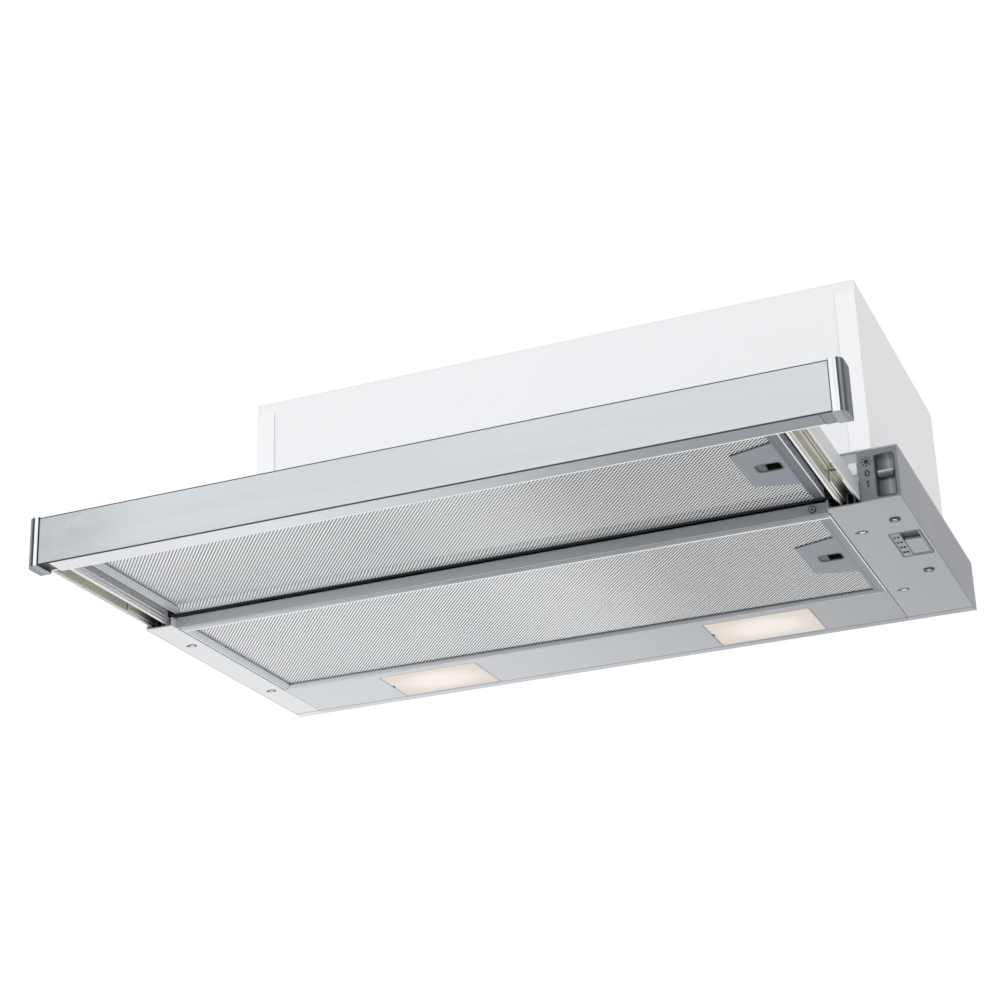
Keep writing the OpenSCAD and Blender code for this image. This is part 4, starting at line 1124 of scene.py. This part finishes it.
@dataclass
class Runners:
    """Telescopic runners in both arms."""

    shop: Workshop
    middles: Pair = (-288.0, 260.5)
    halves: tuple[tuple[str, float], ...] = (("fixed", 3.1), ("middle", 4.7), ("drawer", 6.3))
    roof_z: float = -25.9
    slot_places: tuple[float, ...] = (-374.0, -304.0)

    def build(self) -> None:
        """Dresses the runner sections and their rivets, and adds slots."""
        for name, half in self.halves:
            self.shop.dress([name + "_runners"], "zinc_" + name, ZincRunner(self.middles, half), Edge.FINE)
        self.shop.dress(["runner_rivets"], "rivet_steel", SatinMetal((214, 216, 218), rough=0.25),
                        Edge.FINE)
        slots = [bead(rounded(2.4, 5.0, 1.1, 4) + np.array([x, y]), 0.7, -0.35, self.roof_z)
                 for x in self.middles for y in self.slot_places]
        self.shop.piece("runner_slots", joined(slots), "drawer", Slot.ZINC,
                        "slot_edge", SatinMetal((70, 66, 48), metallic=0.3))


@dataclass
class FilterCassette:
    """One grease filter: folded frame, expanded mesh, handle plate, finger pocket and latch."""

    shop: Workshop
    name: str
    low_z: float
    front: float
    rear: float
    handle_y: float
    left: float = -272.5
    right: float = 243.2
    border: float = 8.5
    hold: float = 1.5
    lip: float = 1.2
    pocket_x: float = 213.5
    pocket_w: float = 18.5
    pocket_d: float = 14.0
    pitch_x: float = 2.9
    pitch_y: float = 3.6
    strand_w: float = 1.5
    cross_w: float = 1.2
    strand_h: float = 0.36
    drop: float = 0.1
    layer_rise: float = 2.0
    layer_h: float = 0.6
    rear_tone: float = 1.0
    joined_front: bool = False
    frame_colour: Triple = (146, 150, 156)
    wrap: float = 0.0
    ramp: float = 7.0

    def build(self) -> None:
        """Dresses the frame and handle, and builds the mesh out of real strands."""
        frame_style = FrameAluminium(self.left, self.right, self.front, self.rear, rear_tone=self.rear_tone,
                                     rear_width=self.wrap or self.border,
                                     joined_front=self.joined_front, colour=self.frame_colour)
        self.shop.dress([self.name + "_frame"], self.name + "_aluminium", frame_style)
        (left, front), (right, rear) = self.pocket(-0.6)
        self.shop.dress([self.name + "_handle"], self.name + "_plate",
                        HandlePlastic(pocket=(left, right, front, rear), mouth_z=self.low_z + 0.2), Edge.FINE)
        self.shop.dress([self.name + "_latch"], "latch_plastic", MouldedPlastic((92, 96, 102)))
        self.weave()
        self.backing()
        self.bezel()

    def inside(self) -> np.ndarray:
        """Lowest and highest corner of the mesh, held in the frame's folds."""
        grip = self.border - self.hold
        return np.array([[self.left + grip, self.front + grip], [self.right - grip, self.rear - grip]])

    def pocket(self, gap: float = 0.3) -> np.ndarray:
        """Lowest and highest corner of the finger pocket's place in the mesh, grown by a gap."""
        low = np.array([self.pocket_x, self.handle_y - self.pocket_d / 2]) - gap
        return np.array([low, low + np.array([self.pocket_w, self.pocket_d]) + 2 * gap])

    def weave(self) -> None:
        """Two crossed families of strands, of which the first stands nearer to the viewer.

        Where the mesh wraps the frame's rear fold, both slope down to it, and the first goes on
        over it.
        """
        run = np.array([self.pitch_x, self.pitch_y])
        run = run / np.linalg.norm(run)
        pitch = self.pitch_x * run[1]
        crown = self.low_z + self.lip + 0.15
        low, high = self.inside()
        fold = self.rear - self.border
        bend, under = fold - self.ramp, self.low_z - 0.3
        plain = np.array([low, [high[0], bend if self.wrap else high[1]]])
        families = [("first", -1, crown, 0.0, self.strand_w, 0.0, plain),
                    ("second", 1, crown + self.drop, 0.0, self.cross_w, 0.85, plain)]
        if self.wrap:
            fall, slope = (under - crown) / self.ramp, np.array([[low[0], bend], [high[0], fold]])
            families.append(("sloping", -1, crown, fall, self.strand_w, 0.0, slope))
            families.append(("sloping_second", 1, crown + self.drop, fall, self.cross_w, 0.85, slope))
            families.append(("wrapped", -1, under, 0.0, self.strand_w, 0.0,
                             np.array([[low[0], fold], [high[0], self.rear - self.wrap]])))
        for family, turn, level, fall, width, second, outer in families:
            points, faces = strands(np.array([run[0], turn * run[1]]), pitch, self.inside().mean(axis=0), outer,
                                    self.pocket(), width, level, level + self.strand_h)
            points[:, 2] += fall * (points[:, 1] - outer[0][1])
            style = WeaveWire(level, self.strand_h, second=second, fall=fall, fall_from=outer[0][1],
                              metal=0.9 if family in ("first", "second") else 0.15)
            self.shop.piece(f"{self.name}_{family}_strands", (points, faces), self.name,
                            Slot.FILTER_MESH, f"{self.name}_{family}", style,
                            [self.name + "_mesh"], smooth=False)

    def backing(self) -> None:
        """The deeper layers of mesh, as a frame-filling sheet with the pocket left open.

        Four plates lie round the pocket, so that the sheet has a hole without a bridge.
        """
        (left, front), (right, rear) = self.inside()
        (hole_left, hole_front), (hole_right, hole_rear) = self.pocket()
        level = self.low_z + self.lip + self.layer_rise
        parts = ((left, hole_left, front, rear), (hole_right, right, front, rear),
                 (hole_left, hole_right, front, hole_front), (hole_left, hole_right, hole_rear, rear))
        solids = [plate(rectangle(*sides), level, level + self.layer_h) for sides in parts]
        self.shop.piece(self.name + "_layers", joined(solids), self.name, Slot.FILTER_MESH,
                        self.name + "_backing", MeshBacking(self.pitch_x * 2, self.pitch_y * 2),
                        smooth=False)

    def bezel(self) -> None:
        """Rounded rim round the finger pocket."""
        outline = rounded(self.pocket_w - 0.8, self.pocket_d - 0.8, 3.4)
        centre = np.array([self.pocket_x + self.pocket_w / 2, self.handle_y])
        rim = bead(outline * 1.04 + centre, 1.4, -0.35, self.low_z + 0.25)
        self.shop.piece(self.name + "_pocket_rim", rim, self.name, Slot.HANDLE,
                        "rim_plastic", MouldedPlastic((112, 117, 124)))


@dataclass
class Controls:
    """Front light switch and underside speed switch."""

    shop: Workshop
    front: float = -260.0
    ink: Finish = MouldedPlastic((24, 25, 28), rough=0.6)
    rim: Finish = MouldedPlastic((70, 73, 79), rough=0.35)
    sign_x: float = 274.6
    sign_z: tuple[float, ...] = (-9.4, -18.1, -26.1)
    sign_h: float = 0.12
    one_scale: float = 1.25
    recess_box: Box = (280.5, 293.5, -36.5, -6.0)
    slider_z: float = -19.5
    bar_half: Triple = (5.8, 3.2, 2.7)
    recess_depth: float = 4.6
    sign_w: float = 7.5
    plate_rim: float = 2.0
    plate: Box = (271.5, 294.0, -193.0, -142.5)
    under: float = -39.5
    slider_y: float = 3.2
    dot_x: Pair = (2.6, 5.2)
    dot_y: Pair = (9.0, 10.5)
    dot_sizes: tuple[float, ...] = (0.95, 1.05, 1.15, 1.25)

    def build(self) -> None:
        """Dresses the switches and adds signs, a bar, a lining, rims and dots."""
        dress = self.shop.dress
        dress(["switch_housing"], "switch_plastic", MouldedPlastic((120, 124, 130), rough=0.42))
        left, right, front, rear = self.plate
        hollow = (left + self.sign_w, right - self.plate_rim, front + self.plate_rim, rear - self.plate_rim)
        dress(["speed_plate"], "speed_plastic", PlateRecess(hollow, self.under))
        dress(["speed_slider"], "pad_plastic", MouldedPlastic((174, 177, 182), rough=0.4))
        self.signs()
        self.slider_bar()
        self.recess()
        self.speed_marks()

    def stand(self, solid: Solid, x: float, z: float) -> Solid:
        """Puts a flat solid on the switch's front face."""
        return moved(upright(solid), (x, self.front, z))

    def signs(self) -> None:
        """A light symbol, a nought and a one, printed as thin raised ink."""
        nought = bead(rounded(2.5, 4.0, 1.22, 5), 0.95, self.sign_h, 0.0)
        stroke = np.array([[-0.36, -2.0], [0.36, -2.0], [0.36, 2.0], [-0.3, 2.0], [-1.1, 1.3], [-0.85, 0.8],
                           [-0.36, 1.1]])
        one = plate(self.one_scale * stroke, 0.0, self.sign_h)
        bulb = plate(rounded(3.2, 3.2, 1.58, 4), 0.0, self.sign_h)
        turn = np.linspace(0.0, 2 * np.pi, 8, endpoint=False)
        spin = np.stack([np.stack([np.cos(turn), -np.sin(turn)], -1), np.stack([np.sin(turn), np.cos(turn)], -1)], 1)
        rays = [plate(rectangle(2.2, 3.8, -0.38, 0.38) @ matrix.T, 0.0, self.sign_h) for matrix in spin]
        signs = {"light_sign": joined([bulb, *rays]), "nought_sign": nought, "one_sign": one}
        for (name, solid), z in zip(signs.items(), self.sign_z):
            self.shop.piece(name, self.stand(solid, self.sign_x, z), "housing", Slot.SWITCH, "sign_ink", self.ink,
                            smooth=False)

    def slider_bar(self) -> None:
        """Crowned bar of the light switch, in place of its plain block.

        Ring i of the bar is a rounded rectangle whose half sizes shrink as the square root of
        1 - s squared, where s runs from 0 at the bar's foot to nearly 1 at its crown.
        """
        half_x, half_z, rise = self.bar_half
        share = np.array([0.0, 0.35, 0.6, 0.8, 0.92, 0.99])
        shrink = np.sqrt(1.0 - share ** 2)
        outline = rounded(2 * half_x, 2 * half_z, 1.2, 4)
        rings = np.stack([np.column_stack([outline[:, 0] * (0.88 + 0.12 * small), outline[:, 1] * small,
                                           np.full(len(outline), rise * step)])
                          for small, step in zip(shrink, share)])
        x = (self.recess_box[0] + self.recess_box[1]) / 2
        solid = moved(upright(loft(rings)), (x, self.front + self.slider_y, self.slider_z))
        self.shop.piece("light_slider_bar", solid, "light_knob", Slot.SWITCH,
                        "bar_plastic", BarPlastic(self.slider_z, half_z), ["light_slider"])

    def recess(self) -> None:
        """Hollow lining of the light switch's recess, and the rim round it.

        With u and v running from -1 to 1 across and up the recess, the lining's depth is the
        full depth times (1 - u to the power 14) times (1 - v to the power 14).
        """
        left, right, low, high = self.recess_box
        u, v = np.meshgrid(np.linspace(-1.0, 1.0, 33), np.linspace(-1.0, 1.0, 49), indexing="ij")
        deep = self.recess_depth * (1.0 - u ** 14) * (1.0 - v ** 14)
        half_x, half_z = (right - left) / 2 - 0.05, (high - low) / 2 - 0.05
        shell = [np.stack([(left + right) / 2 + half_x * u, self.front + 0.02 + gap + deep,
                           (low + high) / 2 + half_z * v], axis=-1) for gap in (0.0, 0.25)]
        points = np.concatenate([layer.reshape(-1, 3) for layer in shell])
        near = np.array(grid_faces(*u.shape))
        number = np.arange(u.size).reshape(u.shape)
        border = np.concatenate([number[0], number[1:, -1], number[-1, -2::-1], number[-2:0:-1, 0]])
        ahead = np.roll(border, -1)
        wall = np.stack([border, ahead, ahead + u.size, border + u.size], axis=1)
        faces = np.concatenate([near, near[:, ::-1] + u.size, wall]).tolist()
        self.shop.piece("light_recess_lining", (points, faces), "housing", Slot.SWITCH,
                        "recess_sheen", RecessSheen(left, right))
        rim = bead(rounded(right - left + 0.9, high - low + 0.9, 1.6), 0.8, 0.3, -0.05)
        self.shop.piece("light_recess_rim", self.stand(rim, (left + right) / 2, (low + high) / 2), "housing",
                        Slot.SWITCH, "rim_dark", self.rim)

    def speed_marks(self) -> None:
        """Dots that grow with the speed beside the slider, and a rim round the plate."""
        left, right, front, rear = self.plate
        centre = ((left + right) / 2, (front + rear) / 2)
        rim = bead(rounded(right - left - 0.6, rear - front - 0.6, 2.2) + np.array(centre), 0.8, -0.3, self.under)
        self.shop.piece("speed_plate_rim", rim, "housing", Slot.SPEED,
                        "rim_dark", self.rim)
        first, apart = self.dot_y
        dots = [moved(dome((size, 2.0 * size, 0.2), 3, 12), (left + x, front + first + apart * step, self.under + 0.02))
                for step, size in enumerate(self.dot_sizes) for x in self.dot_x]
        self.shop.piece("speed_dots", joined(dots), "housing", Slot.SPEED,
                        "sign_ink", self.ink)


@dataclass
class Lamps:
    """Lamp windows and bulbs."""

    shop: Workshop
    middles: Pair = (-146.0, 136.0)
    y: float = -39.0
    half: Pair = (43.75, 28.0)

    def build(self) -> None:
        """Dresses the lenses and bulbs."""
        for name, x in zip(("left", "right"), self.middles):
            self.shop.dress(["lamp_lens_" + name], "lens_" + name, FrostedLens((x, self.y), self.half), Edge.FINE)
        self.shop.dress(["lamp_bulbs"], "opal_glass", OpalGlass(), Edge.NONE)


@dataclass
class Studio:
    """Plain pale room, in metres: camera, soft lamps, ambient light and a floor far below the hood."""

    place: Triple = (0.55702, -1.66041, -0.60974)
    azimuth: float = 21.640
    elevation: float = -22.474
    roll: float = -2.079
    lens: float = 79.55
    sensor: float = 36.0
    target: Triple = (0.0, -0.2, 0.0)
    ambient: float = 0.68
    floor_z: float = -2.3
    floor_half: float = 6.0

    def build(self) -> None:
        """Sets up the camera, the lamps, the world and the floor."""
        self.camera()
        self.lamp("front_lamp", (-0.1, -2.3, 0.9), (2.6, 1.6), 18.0)
        self.lamp("under_lamp", (-1.4, 0.7, -1.5), (2.0, 2.0), 15.0)
        self.world()
        self.floor()
        bpy.context.scene.view_settings.view_transform = "Standard"

    @staticmethod
    def hang(name: str, data: bpy.types.ID, *columns: Sequence[float]) -> bpy.types.Object:
        """Puts an object into the room by its own three axes and its place."""
        made = bpy.data.objects.new(name, data)
        matrix = np.eye(4)
        matrix[:3] = np.stack(columns, axis=1)
        made.matrix_world = Matrix(matrix.tolist())
        bpy.context.scene.collection.objects.link(made)
        return made

    def camera(self) -> None:
        """Makes the camera from its two angles and its roll.

        It looks against the vector (sin a cos e, -cos a cos e, sin e). Its own axes are the
        level and upward directions at right angles to that, turned by the roll.
        """
        turn, tilt, roll = np.radians([self.azimuth, self.elevation, self.roll])
        back = np.array([np.sin(turn) * np.cos(tilt), -np.cos(turn) * np.cos(tilt), np.sin(tilt)])
        level = np.cross(-back, [0.0, 0.0, 1.0])
        level /= np.linalg.norm(level)
        rise = np.cross(level, -back)
        right = np.cos(roll) * level + np.sin(roll) * rise
        upward = -np.sin(roll) * level + np.cos(roll) * rise
        data = bpy.data.cameras.new("camera")
        data.lens, data.sensor_width = self.lens, self.sensor
        bpy.context.scene.camera = self.hang("camera", data, right, upward, back, self.place)

    def lamp(self, name: str, place: Sequence[float], size: Sequence[float], power: float) -> None:
        """Adds a soft rectangular lamp that faces the hood and isn't mirrored.

        Args:
            name: The lamp's name.
            place: Where it hangs, in metres.
            size: Its width and height.
            power: Its power in watts.
        """
        data = bpy.data.lights.new(name, "AREA")
        data.shape, data.size, data.size_y, data.energy = "RECTANGLE", size[0], size[1], power
        back = np.array(place) - np.array(self.target)
        back /= np.linalg.norm(back)
        level = np.cross([0.0, 0.0, 1.0], back)
        level /= np.linalg.norm(level)
        self.hang(name, data, level, np.cross(back, level), back, place).visible_glossy = False

    @staticmethod
    def seen_white(tree: bpy.types.NodeTree, other: bpy.types.NodeSocket, glow: str) -> bpy.types.NodeSocket:
        """Mixes a shader with plain white for camera, glossy and transmission rays.

        Args:
            tree: The node tree.
            other: The shader for all other rays.
            glow: The type of node that gives white light.

        Returns:
            The mixed shader's socket.
        """
        rays = tree.nodes.new("ShaderNodeLightPath")
        first, second = (tree.nodes.new("ShaderNodeMath") for _ in range(2))
        first.operation = second.operation = "MAXIMUM"
        white = tree.nodes.new(glow)
        white.inputs["Color"].default_value, white.inputs["Strength"].default_value = WHITE, 1.0
        mixed = tree.nodes.new("ShaderNodeMixShader")
        for start, end in ((rays.outputs["Is Camera Ray"], first.inputs[0]),
                           (rays.outputs["Is Glossy Ray"], first.inputs[1]), (first.outputs[0], second.inputs[0]),
                           (rays.outputs["Is Transmission Ray"], second.inputs[1]),
                           (second.outputs[0], mixed.inputs[0]), (other, mixed.inputs[1]),
                           (white.outputs[0], mixed.inputs[2])):
            tree.links.new(start, end)
        return mixed.outputs[0]

    def world(self) -> None:
        """Even ambient light, white where it is seen or mirrored."""
        world = bpy.data.worlds.new("room")
        bpy.context.scene.world = world
        world.use_nodes = True
        tree = world.node_tree
        tree.nodes.clear()
        even = tree.nodes.new("ShaderNodeBackground")
        even.inputs["Color"].default_value, even.inputs["Strength"].default_value = WHITE, self.ambient
        out = tree.nodes.new("ShaderNodeOutputWorld")
        tree.links.new(self.seen_white(tree, even.outputs[0], "ShaderNodeBackground"), out.inputs["Surface"])

    def floor(self) -> None:
        """Wide pale floor, white to the camera."""
        half = self.floor_half
        mesh = bpy.data.meshes.new("floor")
        corners = np.column_stack([rectangle(-half, half, -half, half), np.full(4, self.floor_z)])
        mesh.from_pydata(corners.tolist(), [], [(0, 1, 2, 3)])
        graph = Graph("floor_paint")
        pale = graph.add("ShaderNodeBsdfDiffuse", {}, {"Color": paint((238, 238, 238))})
        graph.show(self.seen_white(graph.tree, pale.socket, "ShaderNodeEmission"))
        mesh.materials.append(graph.material)
        floor = bpy.data.objects.new("floor", mesh)
        bpy.context.scene.collection.objects.link(floor)


def main() -> None:
    """Builds every sub-assembly and the studio."""
    logging.basicConfig(level=logging.INFO, format="%(name)s: %(message)s")
    shop = Workshop()
    parts = (BaseHousing(shop), UpperBody(shop), Drawer(shop), Runners(shop),
             # The front filter's frame colour is a darker, shaded copy, and rear_tone paints shade on its rear border.
             FilterCassette(shop, "front_filter", -29.5, -402.9, -256.5, -326.5, rear_tone=0.12,
                            frame_colour=(116, 121, 127), wrap=2.6),
             FilterCassette(shop, "rear_filter", -39.5, -251.4, -75.0, -166.5, joined_front=True),
             Controls(shop), Lamps(shop), Studio())
    for part in parts:
        log.info("building %s", type(part).__name__)
        part.build()


if __name__ == "__main__":
    main()
